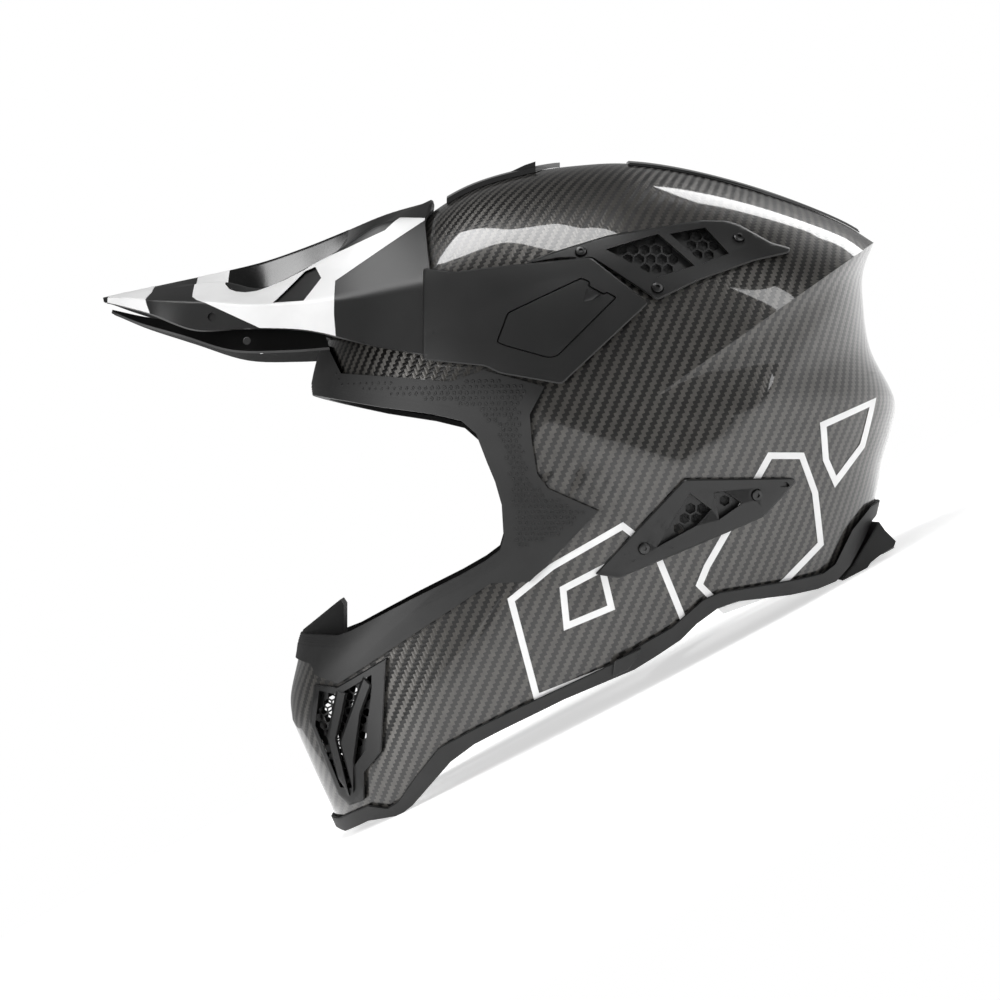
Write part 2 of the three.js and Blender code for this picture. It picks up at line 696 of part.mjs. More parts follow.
// Places a solid geometry drawn about the buckle: x towards the left strap, z across the band.
function atBuckle(geometry) {
  geometry.rotateY(-buckleTurn);
  geometry.translate(buckle.x, buckle.y, buckle.z);
  return solidFrom(geometry);
}

function buckleBox(sizeX, sizeY, sizeZ, x, z) {
  const block = new THREE.BoxGeometry(sizeX, sizeY, sizeZ);
  block.translate(x, 0, z);
  return atBuckle(block);
}

const ringBar = 2.6;
const ringLift = 2.8;
const ringX = -7;

function dRing(lift) {
  const half = 15;
  const reach = 17;
  const shape = new THREE.Shape();
  shape.moveTo(0, -half);
  shape.lineTo(reach - 9, -half);
  shape.absarc(reach - 9, -half + 9, 9, -Math.PI / 2, 0, false);
  shape.lineTo(reach, half - 9);
  shape.absarc(reach - 9, half - 9, 9, 0, Math.PI / 2, false);
  shape.lineTo(0, half);
  const hole = new THREE.Path();
  hole.moveTo(ringBar, -half + ringBar);
  hole.lineTo(ringBar, half - ringBar);
  hole.lineTo(reach - 9, half - ringBar);
  hole.absarc(reach - 9, half - 9, 9 - ringBar, Math.PI / 2, 0, true);
  hole.lineTo(reach - ringBar, -half + 9);
  hole.absarc(reach - 9, -half + 9, 9 - ringBar, 0, -Math.PI / 2, true);
  shape.holes.push(hole);
  const ring = new THREE.ExtrudeGeometry(shape, { depth: ringBar, bevelEnabled: false, curveSegments: 5 });
  ring.translate(ringX - ringBar / 2, 0, lift - ringBar / 2);
  return atBuckle(ring);
}

function strapLeft() {
  const band = hangingBand(0, buckleAngle + 1, bandHalf, -bandHalf, strapWidth, 22).add(strapEnd(1));
  return band.subtract(roundBar(0, 0, rivetRadius + 0.4, 0, far));
}

function strapRight() {
  const band = hangingBand(buckleAngle + 6, 180, bandHalf, -bandHalf, strapWidth, 9).add(strapEnd(-1));
  let sleeve = buckleBox(9, strapWidth, 12, ringX, 0);
  for (const lift of [ringLift, -ringLift]) {
    sleeve = sleeve.subtract(buckleBox(4.2, 40, 4.2, ringX, lift));
  }
  return band.add(sleeve).subtract(roundBar(0, 0, rivetRadius + 0.4, -far, 0));
}

function strapPad(side) {
  const [from, to] = side > 0 ? [10, 42] : [148, 170];
  return hangingBand(from, to, -bandHalf - gap, -bandHalf - gap - 5, 28, 6);
}

function strapRivet(side) {
  const wallInside = widthAt(strapAnchor.y, strapAnchor.z, shellWall) - 1.2;
  const pin = roundBar(0, 0, rivetRadius, side * (strapSpan - 4), side * wallInside);
  const head = roundBar(0, 0, 7, side * (strapSpan - 5), side * (strapSpan - bandHalf - gap - 0.8));
  const washer = roundBar(0, 0, 8, side * (strapSpan + bandHalf + gap), side * (strapSpan + 4));
  return pin.add(head).add(washer);
}

add('strap_left', strapLeft(), webbing, hanging);
add('strap_right', strapRight(), webbing, hanging);
add('d_ring_upper', dRing(ringLift), steel, hanging);
add('d_ring_lower', dRing(-ringLift), steel, hanging);
for (const [name, side] of sides) {
  add(`strap_pad_${name}`, strapPad(side), blackFabric, hanging);
  add(`strap_rivet_${name}`, strapRivet(side), steel, hanging);
}

// Emergency pull tabs, which hang from the lower edge of each cheek pad.
function pullTab(side) {
  const region = [[-30, -135.6], [-16, -123.8], [-12, -130], [-26, -142]];
  return layer(20, 21.5).intersect(sideOf(region, side));
}

for (const [name, side] of sides) add(`pull_tab_${name}`, pullTab(side), redFabric);

// ---------- stand the helmet on the table ----------

design.rotation.x = -standTilt;
design.position.set(0, -frontToBackShift, tableLevel);

const helmet = new THREE.Group();
helmet.add(design);

export default helmet;
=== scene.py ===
"""Motocross helmet: the looks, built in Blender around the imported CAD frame.

Shapes are drawn in the design frame, in millimetres: x to the wearer's left, y rearward, z up, level
as on a rider's head. DESIGN_TO_ROW tips them nose-up onto the table and turns them into metres.
"""

import math

import bmesh
import bpy
import numpy as np
from mathutils import Matrix, Vector
from mathutils.geometry import tessellate_polygon


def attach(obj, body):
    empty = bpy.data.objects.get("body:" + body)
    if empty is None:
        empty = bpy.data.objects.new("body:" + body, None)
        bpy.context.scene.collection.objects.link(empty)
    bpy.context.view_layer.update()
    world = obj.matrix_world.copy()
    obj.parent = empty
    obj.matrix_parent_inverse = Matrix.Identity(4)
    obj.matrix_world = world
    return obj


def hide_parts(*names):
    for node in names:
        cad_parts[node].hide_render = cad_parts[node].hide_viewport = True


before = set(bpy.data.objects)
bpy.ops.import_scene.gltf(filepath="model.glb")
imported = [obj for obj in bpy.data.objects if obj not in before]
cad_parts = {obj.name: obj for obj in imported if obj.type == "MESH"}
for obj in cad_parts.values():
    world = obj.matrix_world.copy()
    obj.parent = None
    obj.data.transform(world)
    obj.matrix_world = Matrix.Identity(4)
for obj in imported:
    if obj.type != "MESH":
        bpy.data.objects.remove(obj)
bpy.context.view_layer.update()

# ---------- driving dimensions, in millimetres, as in the CAD source ----------

STAND_TILT = math.radians(27.5)
TABLE_LEVEL = 128.3
FRONT_TO_BACK_SHIFT = 43.5
TEMPLE = np.array([68.0, 45.0])
TEMPLE_HALF_WIDTH = 122.0
FULLNESS = 2.3
SHELL_WALL = 3.0
SHELL_EDGE_INSET = 3.0
LINER_DEPTH = 44
LINER_SIDE_DEPTH = 34
CHIN_FOAM_DEPTH = 22
GAP = 0.3
TRIM_RISE = 2.6
TRIM_LIP = 9.0
FAR = 170.0
PIVOT = (32.0, 94.0)
ARM_CLEARANCE = 5.0
ARM_FLOOR = 6.0
ARM_TOP = 9.2
COVER_UNDER = 7.7
CREASE_RADIUS = 3.0
DEEP = 20.0
WRAP_PASSES = 7

DESIGN_TO_ROW = (
    Matrix.Scale(0.001, 4)
    @ Matrix.Translation((0, -FRONT_TO_BACK_SHIFT, TABLE_LEVEL))
    @ Matrix.Rotation(-STAND_TILT, 4, "X")
)

# ---------- the helmet's outer form ----------

CHIN_FRONT = (-118, -125)
CHIN_BASE = (-92, -183)
TAIL_TIP = (212, 146)
CROWN_LINE = [
    CHIN_FRONT, (-119, -112), (-113, -80), (-112, -40), (-110, 15), (-106, 58), (-100, 84), (-86, 112),
    (-66, 138), (-43, 160), (-17, 176), (17, 186), (46, 190), (71, 191), (102, 187), (148, 175),
    (194, 157), TAIL_TIP,
]
REAR_LINE = [
    TAIL_TIP, (206, 129), (206, 112), (210, 86), (224, 56), (222, 40), (217, 22), (213, 0), (198, -52),
    (165, -105), (114, -150), (57, -190), (0, -208), (-50, -210), (-80, -198), CHIN_BASE,
]
CHIN_LINE = [CHIN_BASE, CHIN_FRONT]


def smooth_line(points, per_span):
    """Centripetal Catmull-Rom points through the given ones, without the last."""
    p = np.array([np.subtract(np.multiply(points[0], 2), points[1]), *points,
                  np.subtract(np.multiply(points[-1], 2), points[-2])], float)
    out = []
    for i in range(1, len(p) - 2):
        p0, p1, p2, p3 = p[i - 1], p[i], p[i + 1], p[i + 2]
        d0, d1, d2 = (math.sqrt(max(np.linalg.norm(b - a), 1e-4)) for a, b in ((p0, p1), (p1, p2), (p2, p3)))
        t1 = ((p1 - p0) / d0 - (p2 - p0) / (d0 + d1) + (p2 - p1) / d1) * d1
        t2 = ((p2 - p1) / d1 - (p3 - p1) / (d1 + d2) + (p3 - p2) / d2) * d1
        for w in np.arange(per_span) / per_span:
            out.append(p1 + t1 * w + (3 * (p2 - p1) - 2 * t1 - t2) * w**2 + (2 * (p1 - p2) + t1 + t2) * w**3)
    return out


def form_outline(detail):
    lines = (CROWN_LINE, REAR_LINE, CHIN_LINE)
    return np.array([point for line in lines for point in smooth_line(line, detail)])


# the outline in polar form about the temple
FINE = form_outline(12) - TEMPLE
FINE_ANGLE = np.arctan2(FINE[:, 1], FINE[:, 0])
FINE_ORDER = np.argsort(FINE_ANGLE)
FINE_ANGLE = FINE_ANGLE[FINE_ORDER]
FINE_RADIUS = np.hypot(FINE[:, 0], FINE[:, 1])[FINE_ORDER]

# each crease: how high it stands, how far its flanks reach, and its line in the side view
CREASES = [
    (7.5, 34, [(209, 144), (176, 98), (130, 38), (97, 18), (59, 32), (26, 44)]),
    (4.5, 26, [(130, 38), (180, 38), (213, 40)]),
    (3.5, 22, [(-30, 125), (6, 146), (44, 160), (83, 165), (121, 162), (166, 152), (209, 144)]),
    (5.0, 24, [(26, 44), (44, 22), (56, -4), (76, -41), (20, -99)]),
    (4.0, 20, [(-106, -94), (-107, -124), (-92, -160)]),
]


def distance_to_line(line, y, z):
    nearest = np.full(np.shape(y), np.inf)
    for (y0, z0), (y1, z1) in zip(line, line[1:]):
        dy, dz = y1 - y0, z1 - z0
        share = np.clip(((y - y0) * dy + (z - z0) * dz) / (dy * dy + dz * dz), 0, 1)
        nearest = np.minimum(nearest, np.hypot(y - y0 - share * dy, z - z0 - share * dz))
    return nearest


def crease_rise(y, z):
    rises = []
    for rise, reach, line in CREASES:
        away = np.hypot(distance_to_line(line, y, z), CREASE_RADIUS) - CREASE_RADIUS
        rises.append(rise * np.exp(-away / reach))
    return np.max(rises, axis=0)


def width_at_share(share, y, z, half_width):
    bulge = np.maximum(0, 1 - share**FULLNESS) ** (1 / FULLNESS)
    return half_width * bulge + crease_rise(y, z) * (1 - share**6)


def outline_radius(angle):
    return np.interp(angle, FINE_ANGLE, FINE_RADIUS, period=2 * math.pi)


def width_at(y, z, inset=0.0):
    """Half-width of the form in the side view, for the surface inset below the outer one."""
    y, z = np.asarray(y, float), np.asarray(z, float)
    radius = np.hypot(y - TEMPLE[0], z - TEMPLE[1])
    edge = outline_radius(np.arctan2(z - TEMPLE[1], y - TEMPLE[0])) - inset
    return width_at_share(np.minimum(1, radius / edge), y, z, TEMPLE_HALF_WIDTH - inset)


def make_form(radial_inset, lateral_inset, detail, rings):
    """The closed form, as triangles."""
    samples = form_outline(detail)
    count = len(samples)
    shares = np.sin(np.linspace(math.pi / 2, 0, rings + 1))[:-1]
    offsets = samples - TEMPLE
    full = np.hypot(offsets[:, 0], offsets[:, 1])
    vertices = []
    for side in (1, -1):
        for share in shares:
            place = TEMPLE + offsets * (share * (full - radial_inset) / full)[:, None]
            x = width_at_share(share, place[:, 0], place[:, 1], TEMPLE_HALF_WIDTH - lateral_inset)
            x = np.zeros(count) if share == 1 else x
            vertices.append(np.column_stack([side * x, place]))
        centre = width_at_share(0.0, TEMPLE[0], TEMPLE[1], TEMPLE_HALF_WIDTH - lateral_inset)
        vertices.append(np.array([[side * centre, *TEMPLE]]))
    half = rings * count + 1
    i = np.arange(count)
    j = (i + 1) % count
    faces = []
    for start, turned in ((0, False), (half, True)):
        for ring in range(rings):
            a, b = start + ring * count + i, start + ring * count + j
            last = ring == rings - 1
            c = np.full(count, start + rings * count) if last else a + count
            faces.append(np.column_stack([a, b, c] if turned else [a, c, b]))
            if not last:
                faces.append(np.column_stack([b, b + count, c] if turned else [b, c, b + count]))
    vertices, faces = np.vstack(vertices), np.vstack(faces)
    # both halves share the outline's vertices
    faces[(faces >= half) & (faces < half + count)] -= half
    return solid_mesh(vertices, faces)


# ---------- solids: closed meshes in the design frame ----------

def solid_mesh(vertices, faces):
    mesh = bpy.data.meshes.new("solid")
    mesh.from_pydata(np.asarray(vertices).tolist(), [], [list(map(int, f)) for f in faces])
    clean(mesh)
    return mesh


def clean(mesh):
    """Drops loose vertices and turns every face outward."""
    bm = bmesh.new()
    bm.from_mesh(mesh)
    bmesh.ops.delete(bm, geom=[v for v in bm.verts if not v.link_faces], context="VERTS")
    if bm.calc_volume(signed=True) < 0:
        bmesh.ops.reverse_faces(bm, faces=bm.faces)
    bm.to_mesh(mesh)
    bm.free()


def combined(mesh_a, mesh_b, operation):
    """A new mesh: a with b cut away (DIFFERENCE), joined (UNION) or in common (INTERSECT)."""
    first = bpy.data.objects.new("first", mesh_a)
    second = bpy.data.objects.new("second", mesh_b)
    for one in (first, second):
        bpy.context.scene.collection.objects.link(one)
    cut = first.modifiers.new("cut", "BOOLEAN")
    cut.object = second
    cut.operation = operation
    cut.solver = "MANIFOLD"
    graph = bpy.context.evaluated_depsgraph_get()
    result = bpy.data.meshes.new_from_object(first.evaluated_get(graph))
    for one in (first, second):
        bpy.data.objects.remove(one)
    return result


def cut_away(mesh, *others):
    for other in others:
        mesh = combined(mesh, other, "DIFFERENCE")
    return mesh


def joined(mesh, *others):
    for other in others:
        mesh = combined(mesh, other, "UNION")
    return mesh


def common(mesh, other):
    return combined(mesh, other, "INTERSECT")


made_forms = {}


def form(radial_inset, lateral_inset=None):
    key = (radial_inset, radial_inset if lateral_inset is None else lateral_inset)
    if key not in made_forms:
        detail, rings = (9, 80) if radial_inset <= 0 else (6, 36) if radial_inset < DEEP else (4, 20)
        made_forms[key] = make_form(*key, detail, rings)
    return made_forms[key]


def layer(outer, inner):
    return cut_away(form(outer), form(inner))


def prism(loops, low, high, axes):
    """A prism of an outline with holes, each loop a list of points, along the axis left over."""
    flat = [[Vector((p[0], p[1], 0)) for p in loop] for loop in loops]
    triangles = tessellate_polygon(flat)
    points = [p for loop in flat for p in loop]
    count = len(points)
    along = ({0, 1, 2} - set(axes)).pop()
    vertices = []
    for level in (low, high):
        for p in points:
            place = [0.0, 0.0, 0.0]
            place[axes[0]], place[axes[1]], place[along] = p[0], p[1], level
            vertices.append(place)
    faces = [list(t) for t in triangles]
    edges = [edge for a, b, c in faces for edge in ((a, b), (b, c), (c, a))]
    inner = set(edges)
    walls = [[b, a, a + count, b + count] for a, b in edges if (b, a) not in inner]
    top = [[c + count, b + count, a + count] for a, b, c in faces]
    return solid_mesh(vertices, faces + top + walls)


def side_prism(loops, low=-FAR, high=FAR):
    if not isinstance(loops[0][0], (tuple, list, np.ndarray)):
        loops = [loops]
    return prism(loops, low, high, (1, 2))


def side_of(points, side):
    return side_prism(points, 0, FAR) if side > 0 else side_prism(points, -FAR, 0)


def top_prism(points, low, high):
    return prism([points], low, high, (0, 1))


def circle(y, z, radius, count=32):
    turns = [2 * math.pi * k / count for k in range(count)]
    return [(y + radius * math.cos(t), z + radius * math.sin(t)) for t in turns]


def area(points):
    p = np.array(points)
    q = np.roll(p, -1, axis=0)
    return 0.5 * float(np.sum(p[:, 0] * q[:, 1] - q[:, 0] * p[:, 1]))


def grown(points, distance):
    """Every corner moved outward by a distance, along the mean of its two sides' normals."""
    turn = math.copysign(1, area(points))
    p = np.array(points, float)
    arrive = p - np.roll(p, 1, axis=0)
    leave = np.roll(p, -1, axis=0) - p
    arrive /= np.linalg.norm(arrive, axis=1)[:, None]
    leave /= np.linalg.norm(leave, axis=1)[:, None]
    along = arrive + leave
    along /= np.linalg.norm(along, axis=1)[:, None]
    stretch = distance / np.maximum(0.5, np.sum(along * arrive, axis=1))
    return [tuple(v) for v in p + turn * np.column_stack([along[:, 1], -along[:, 0]]) * stretch[:, None]]


def rounded(points, radius, steps=4):
    """The outline with each corner turned into a small curve."""
    out = []
    count = len(points)
    for i, corner in enumerate(points):
        c = np.array(corner, float)
        before = np.array(points[i - 1], float) - c
        after = np.array(points[(i + 1) % count], float) - c
        reach_in = min(radius, 0.45 * np.linalg.norm(before))
        reach_out = min(radius, 0.45 * np.linalg.norm(after))
        start = c + before / np.linalg.norm(before) * reach_in
        end = c + after / np.linalg.norm(after) * reach_out
        for k in range(steps + 1):
            t = k / steps
            out.append(tuple((1 - t) ** 2 * start + 2 * t * (1 - t) * c + t**2 * end))
    return out


def bridge(bm, lower, upper):
    """Quads between two closed loops of as many vertices."""
    for k in range(len(lower)):
        j = (k + 1) % len(lower)
        bm.faces.new([lower[k], lower[j], upper[j], upper[k]])


def flat_plate(outline, rings, holes=()):
    """A solid in the flattened side view, where x is the height above the shell.

    Each ring is (inset, height): the outline shrinks and the holes grow by the inset.
    """
    bm = bmesh.new()
    rows = []
    for inset, height in rings:
        loops = [grown(outline, -inset)] + [grown(hole, inset) for hole in holes]
        rows.append([[bm.verts.new((height, *p)) for p in loop] for loop in loops])
    for lower, upper in zip(rows, rows[1:]):
        for low_loop, high_loop in zip(lower, upper):
            bridge(bm, low_loop, high_loop)
    for row in (rows[0], rows[-1]):
        flat = [[Vector((v.co.y, v.co.z, 0)) for v in loop] for loop in row]
        corners = [v for loop in row for v in loop]
        for triangle in tessellate_polygon(flat):
            bm.faces.new([corners[k] for k in triangle])
    return finished(bm)


def finished(bm):
    bmesh.ops.recalc_face_normals(bm, faces=bm.faces)
    mesh = bpy.data.meshes.new("solid")
    bm.to_mesh(mesh)
    bm.free()
    return mesh


def hull(points):
    bm = bmesh.new()
    for p in points:
        bm.verts.new(p)
    result = bmesh.ops.convex_hull(bm, input=bm.verts)
    bmesh.ops.delete(bm, geom=result["geom_interior"], context="VERTS")
    return finished(bm)


def wrap(mesh, spacing=2.5):
    """Lays a solid of the flattened side view onto the left side of the form."""
    bm = bmesh.new()
    bm.from_mesh(mesh)
    bmesh.ops.triangulate(bm, faces=bm.faces)
    for _ in range(WRAP_PASSES):
        long_edges = [e for e in bm.edges if (e.verts[0].co.yz - e.verts[1].co.yz).length > spacing]
        if not long_edges:
            break
        bmesh.ops.subdivide_edges(bm, edges=long_edges, cuts=1)
        bmesh.ops.triangulate(bm, faces=bm.faces, ngon_method="BEAUTY")
    flat = np.array([v.co for v in bm.verts])
    out = width_at(flat[:, 1], flat[:, 2], -flat[:, 0])
    for vertex, x in zip(bm.verts, out):
        vertex.co.x = x
    return finished(bm)


def mirrored(mesh):
    copy = mesh.copy()
    copy.transform(Matrix.Scale(-1, 4, (1, 0, 0)))
    copy.flip_normals()
    return copy


def sided(mesh, side):
    return mesh.copy() if side > 0 else mirrored(mesh)


def surface_place(y, z, height=0.0):
    """A frame on the left side of the shell: z axis along its normal."""
    step = 0.5
    across = float(width_at(y + step, z) - width_at(y - step, z)) / (2 * step)
    upward = float(width_at(y, z + step) - width_at(y, z - step)) / (2 * step)
    normal = Vector((1, -across, -upward)).normalized()
    side = Vector((0, 0, 1)).cross(normal).normalized()
    turn = Matrix((side, normal.cross(side), normal)).transposed().to_4x4()
    return Matrix.Translation(Vector((float(width_at(y, z)), y, z)) + normal * height) @ turn


def lathe(profile, sides=24):
    """A turned solid about z; the profile of (radius, height) starts and ends on the axis."""
    bm = bmesh.new()
    rings = []
    for radius, height in profile:
        if radius == 0:
            rings.append([bm.verts.new((0, 0, height))])
            continue
        turns = [2 * math.pi * k / sides for k in range(sides)]
        rings.append([bm.verts.new((radius * math.cos(t), radius * math.sin(t), height)) for t in turns])
    for lower, upper in zip(rings, rings[1:]):
        for k in range(sides):
            j = (k + 1) % sides
            corners = [lower[k % len(lower)], lower[j % len(lower)]]
            corners += [upper[j % len(upper)], upper[k % len(upper)]]
            bm.faces.new(list(dict.fromkeys(corners)))
    return finished(bm)


def scattered(mesh, places):
    """One mesh with a copy of a small solid at each place."""
    base = np.array([v.co for v in mesh.vertices])
    polygons = [list(p.vertices) for p in mesh.polygons]
    vertices, faces = [], []
    for place in places:
        turn = np.array(place)
        start = len(vertices) * len(base)
        vertices.append(base @ turn[:3, :3].T + turn[:3, 3])
        faces.extend([[k + start for k in p] for p in polygons])
    made = bpy.data.meshes.new("solid")
    made.from_pydata(np.vstack(vertices).tolist(), [], faces)
    return made


def inside(point, outline):
    """Whether a point lies in an outline, by counting the sides that a ray crosses."""
    y, z = point
    odd = False
    for (y0, z0), (y1, z1) in zip(outline, [*outline[1:], outline[0]]):
        if (z0 > z) != (z1 > z) and y < (y1 - y0) * (z - z0) / (z1 - z0) + y0:
            odd = not odd
    return odd


def hex_grid(outline, pitch):
    """Centres of a hexagonal grid, with flat-sided rows, over an outline's box."""
    p = np.array(outline)
    low, high = p.min(axis=0), p.max(axis=0)
    row = 0
    z = low[1]
    while z <= high[1]:
        y = low[0] + (pitch / 2 if row % 2 else 0)
        while y <= high[0]:
            yield y, z
            y += pitch
        z += pitch * math.sqrt(3) / 2
        row += 1


# ---------- side-view outlines, as in the CAD source ----------

PORT_EDGE = [
    (-114, 61), (-91, 56), (-66, 51), (-38, 47), (-21, 43), (-13, 36), (-8, 23), (-3, 11), (1, -3), (2, -20),
    (0, -27), (-8, -33), (-22, -41), (-48, -54), (-67, -64), (-82, -72), (-90, -75),
]
PORT = [(-FAR, 61), *PORT_EDGE, (-FAR, -75)]
TRIM_OUTLINE = [
    (-FAR, 87), (-97, 87), (-88, 70), (-27, 64), (-9, 70), (24, 61), (16, 46), (17, 32), (20, 14), (26, 6),
    (53, -6), (29, -31), (16, -44), (-5, -45), (-62, -83), (-89, -101), (-102, -97), (-105, -91), (-FAR, -79),
]
NOSE_GUARD = [(-112, -79), (-111, -73), (-95, -60), (-90, -56), (-88, -59), (-88, -76), (-96, -82)]
RIM_BOTTOM = [
    (-94, -185), (-87, -186), (-73, -178), (-55, -174), (-48, -168), (-38, -156), (-27, -143), (-14, -133),
    (1, -125), (35, -108), (73, -92), (86, -84), (98, -76), (107, -67), (118, -59), (130, -55), (159, -52),
    (175, -49), (186, -45), (194, -37), (202, -24), (209, -11), (217, -5),
]
RIM_TOP = [
    (-97, -179), (-90, -178), (-81, -173), (-73, -169), (-62, -170), (-56, -166), (-45, -150), (-33, -135),
    (-15, -125), (11, -112), (62, -88), (77, -78), (93, -69), (110, -54), (119, -50), (164, -43), (178, -40),
    (185, -35), (195, -16), (207, -3), (219, 2),
]
RIM_CLIP = [(61, -96), (70, -92), (77, -80), (62, -87)]


def below(line, rise=0.0):
    """Everything under a line, as one outline."""
    raised = [(y, z + rise) for y, z in line]
    return [(-FAR, raised[0][1]), *raised, (260, raised[-1][1]), (260, -260), (-FAR, -260)]


UPPER_VENT = [
    (14, 129), (33, 136), (59, 144), (88, 149), (109, 153), (124, 153), (131, 151), (148, 141), (159, 138),
    (158, 135), (138, 130), (108, 119), (85, 108), (68, 119), (50, 131), (33, 131),
]
UPPER_WINDOWS = [
    [(57, 136), (86, 145), (106, 127), (85, 120)],
    [(92, 145), (112, 149), (125, 134), (110, 128)],
]
UPPER_SCREWS = [(44, 134), (85, 114), (130, 142)]
SIDE_VENT = [(51, -40), (99, 11), (159, 12), (161, 10), (143, -9), (129, -15), (64, -42)]
SIDE_WINDOWS = [[(84, -26), (102, 4), (114, -5), (106, -14)], [(115, 4), (121, 5), (131, -2), (118, -11)]]
SIDE_SCREWS = [(77, -26), (138, 3)]
CHIN_VENT = [
    (-90, -103), (-62, -86), (-65, -138), (-75, -150), (-75, -166), (-84, -170), (-90, -165), (-106, -124),
    (-103, -102),
]
CHIN_WINDOW = [(-100, -105), (-89, -107), (-70, -95), (-70, -103), (-74, -138), (-81, -148), (-82, -160),
               (-89, -160), (-103, -125)]
CHIN_FINS = [
    [(-90, -104), (-84, -106), (-86, -116), (-90, -132), (-83, -165), (-90, -155), (-96, -131)],
    [(-75, -96), (-70, -101), (-76, -117), (-80, -144), (-81, -163), (-89, -134), (-84, -120)],
]
ARM_OUTLINE = [(-42, 127), (-24, 124), (4, 127), (49, 131), (80, 106), (33, 62), (0, 68), (-8, 72), (-42, 76)]
COVER_OUTLINE = [(-2, 85), (4, 101), (44, 120), (49, 117.5), (48, 115.5), (56, 111), (57.5, 112.2), (63, 109),
                 (31, 77), (26, 76), (2, 83)]

SIDES = (("left", 1), ("right", -1))

scene = bpy.context.scene

# ---------- camera, light and floor ----------

CAMERA_DISTANCE = 2200.0
FRAME_WIDTH = 570.0
SENSOR = 36.0


def add_camera():
    """Square onto the helmet's left side, level with the design frame's origin."""
    lens = bpy.data.cameras.new("camera")
    lens.sensor_width = SENSOR
    lens.lens = SENSOR * CAMERA_DISTANCE / FRAME_WIDTH
    camera = bpy.data.objects.new("camera", lens)
    scene.collection.objects.link(camera)
    turn = DESIGN_TO_ROW.to_3x3().normalized()
    axes = Matrix([turn @ Vector(axis) for axis in ((0, 1, 0), (0, 0, 1), (1, 0, 0))]).transposed()
    camera.matrix_world = Matrix.Translation(DESIGN_TO_ROW @ Vector((CAMERA_DISTANCE, 0, 0))) @ axes.to_4x4()
    scene.camera = camera


def add_softbox(name, place, aim, width, height, power):
    """A rectangular light at a place, turned to a point, both in metres of the row frame."""
    light = bpy.data.lights.new(name, "AREA")
    light.shape = "RECTANGLE"
    light.size = width
    light.size_y = height
    light.energy = power
    lamp = bpy.data.objects.new(name, light)
    scene.collection.objects.link(lamp)
    lamp.location = place
    lamp.rotation_euler = (Vector(aim) - Vector(place)).to_track_quat("-Z", "Y").to_euler()


STUDIO_LEVEL = 0.26


def add_world():
    """White for the backdrop; a dimmer grey room, darker overhead, for the light it gives."""
    world = bpy.data.worlds.new("studio")
    scene.world = world
    world.use_nodes = True
    nodes, links = world.node_tree.nodes, world.node_tree.links
    coordinates = nodes.new("ShaderNodeTexCoord")
    split = nodes.new("ShaderNodeSeparateXYZ")
    ramp = nodes.new("ShaderNodeValToRGB")
    ramp.color_ramp.elements[0].position = 0.0
    ramp.color_ramp.elements[0].color = (STUDIO_LEVEL, STUDIO_LEVEL, STUDIO_LEVEL, 1)
    ramp.color_ramp.elements[1].position = 0.75
    ramp.color_ramp.elements[1].color = (0.05, 0.05, 0.05, 1)
    links.new(coordinates.outputs["Generated"], split.inputs["Vector"])
    links.new(split.outputs["Z"], ramp.inputs["Fac"])
    path = nodes.new("ShaderNodeLightPath")
    choice = nodes.new("ShaderNodeMix")
    choice.data_type = "RGBA"
    choice.inputs["B"].default_value = (1, 1, 1, 1)
    links.new(path.outputs["Is Camera Ray"], choice.inputs["Factor"])
    links.new(ramp.outputs["Color"], choice.inputs["A"])
    links.new(choice.outputs["Result"], nodes["Background"].inputs["Color"])


def add_floor():
    """A white floor that turns into plain backdrop white a short way from the helmet."""
    bm = bmesh.new()
    bmesh.ops.create_grid(bm, x_segments=1, y_segments=1, size=40.0)
    mesh = finished(bm)
    made = bpy.data.materials.new("floor_white")
    made.use_nodes = True
    nodes, links = made.node_tree.nodes, made.node_tree.links
    shader = nodes["Principled BSDF"]
    shader.inputs["Roughness"].default_value = 0.9
    shader.inputs["Specular IOR Level"].default_value = 0.0
    shader.inputs["Emission Color"].default_value = (1, 1, 1, 1)
    coordinates = nodes.new("ShaderNodeTexCoord")
    reach = nodes.new("ShaderNodeVectorMath")
    reach.operation = "LENGTH"
    links.new(coordinates.outputs["Object"], reach.inputs[0])
    for socket, near, far in (("Base Color", 0.85, 0.0), ("Emission Strength", 0.62, 1.0)):
        fade = nodes.new("ShaderNodeMapRange")
        for name, value in (("From Min", 0.35), ("From Max", 1.1), ("To Min", near), ("To Max", far)):
            fade.inputs[name].default_value = value
        links.new(reach.outputs["Value"], fade.inputs["Value"])
        links.new(fade.outputs["Result"], shader.inputs[socket])
    mesh.materials.append(made)
    floor = bpy.data.objects.new("floor", mesh)
    scene.collection.objects.link(floor)


scene.view_settings.view_transform = "Standard"
add_camera()
add_world()
add_floor()
add_softbox("key", (1.1, -1.7, 0.9), (0, 0, 0.2), 0.6, 1.3, 30)
add_softbox("overhead", (0.25, 0.2, 1.9), (0, 0, 0.2), 0.45, 1.8, 22)
add_softbox("rear", (1.3, 1.7, 0.9), (0, 0, 0.2), 0.4, 1.2, 8)
add_softbox("rim", (-1.2, 1.6, 1.2), (0, 0, 0.2), 0.5, 1.2, 12)

# ---------- materials ----------


def paint(name, color, roughness, metallic=0.0, **sockets):
    """A material with its uniform values on the shader's own sockets."""
    made = bpy.data.materials.new(name)
    made.use_nodes = True
    shader = made.node_tree.nodes["Principled BSDF"]
    shader.inputs["Base Color"].default_value = (*color, 1)
    shader.inputs["Roughness"].default_value = roughness
    shader.inputs["Metallic"].default_value = metallic
    for socket, value in sockets.items():
        shader.inputs[socket.replace("_", " ").title()].default_value = value
    return made


def add_node(made, kind, settings=(), **inputs):
    node = made.node_tree.nodes.new(kind)
    for key, value in dict(settings).items():
        setattr(node, key, value)
    for key, value in inputs.items():
        node.inputs[key.replace("_", " ").title()].default_value = value
    return node


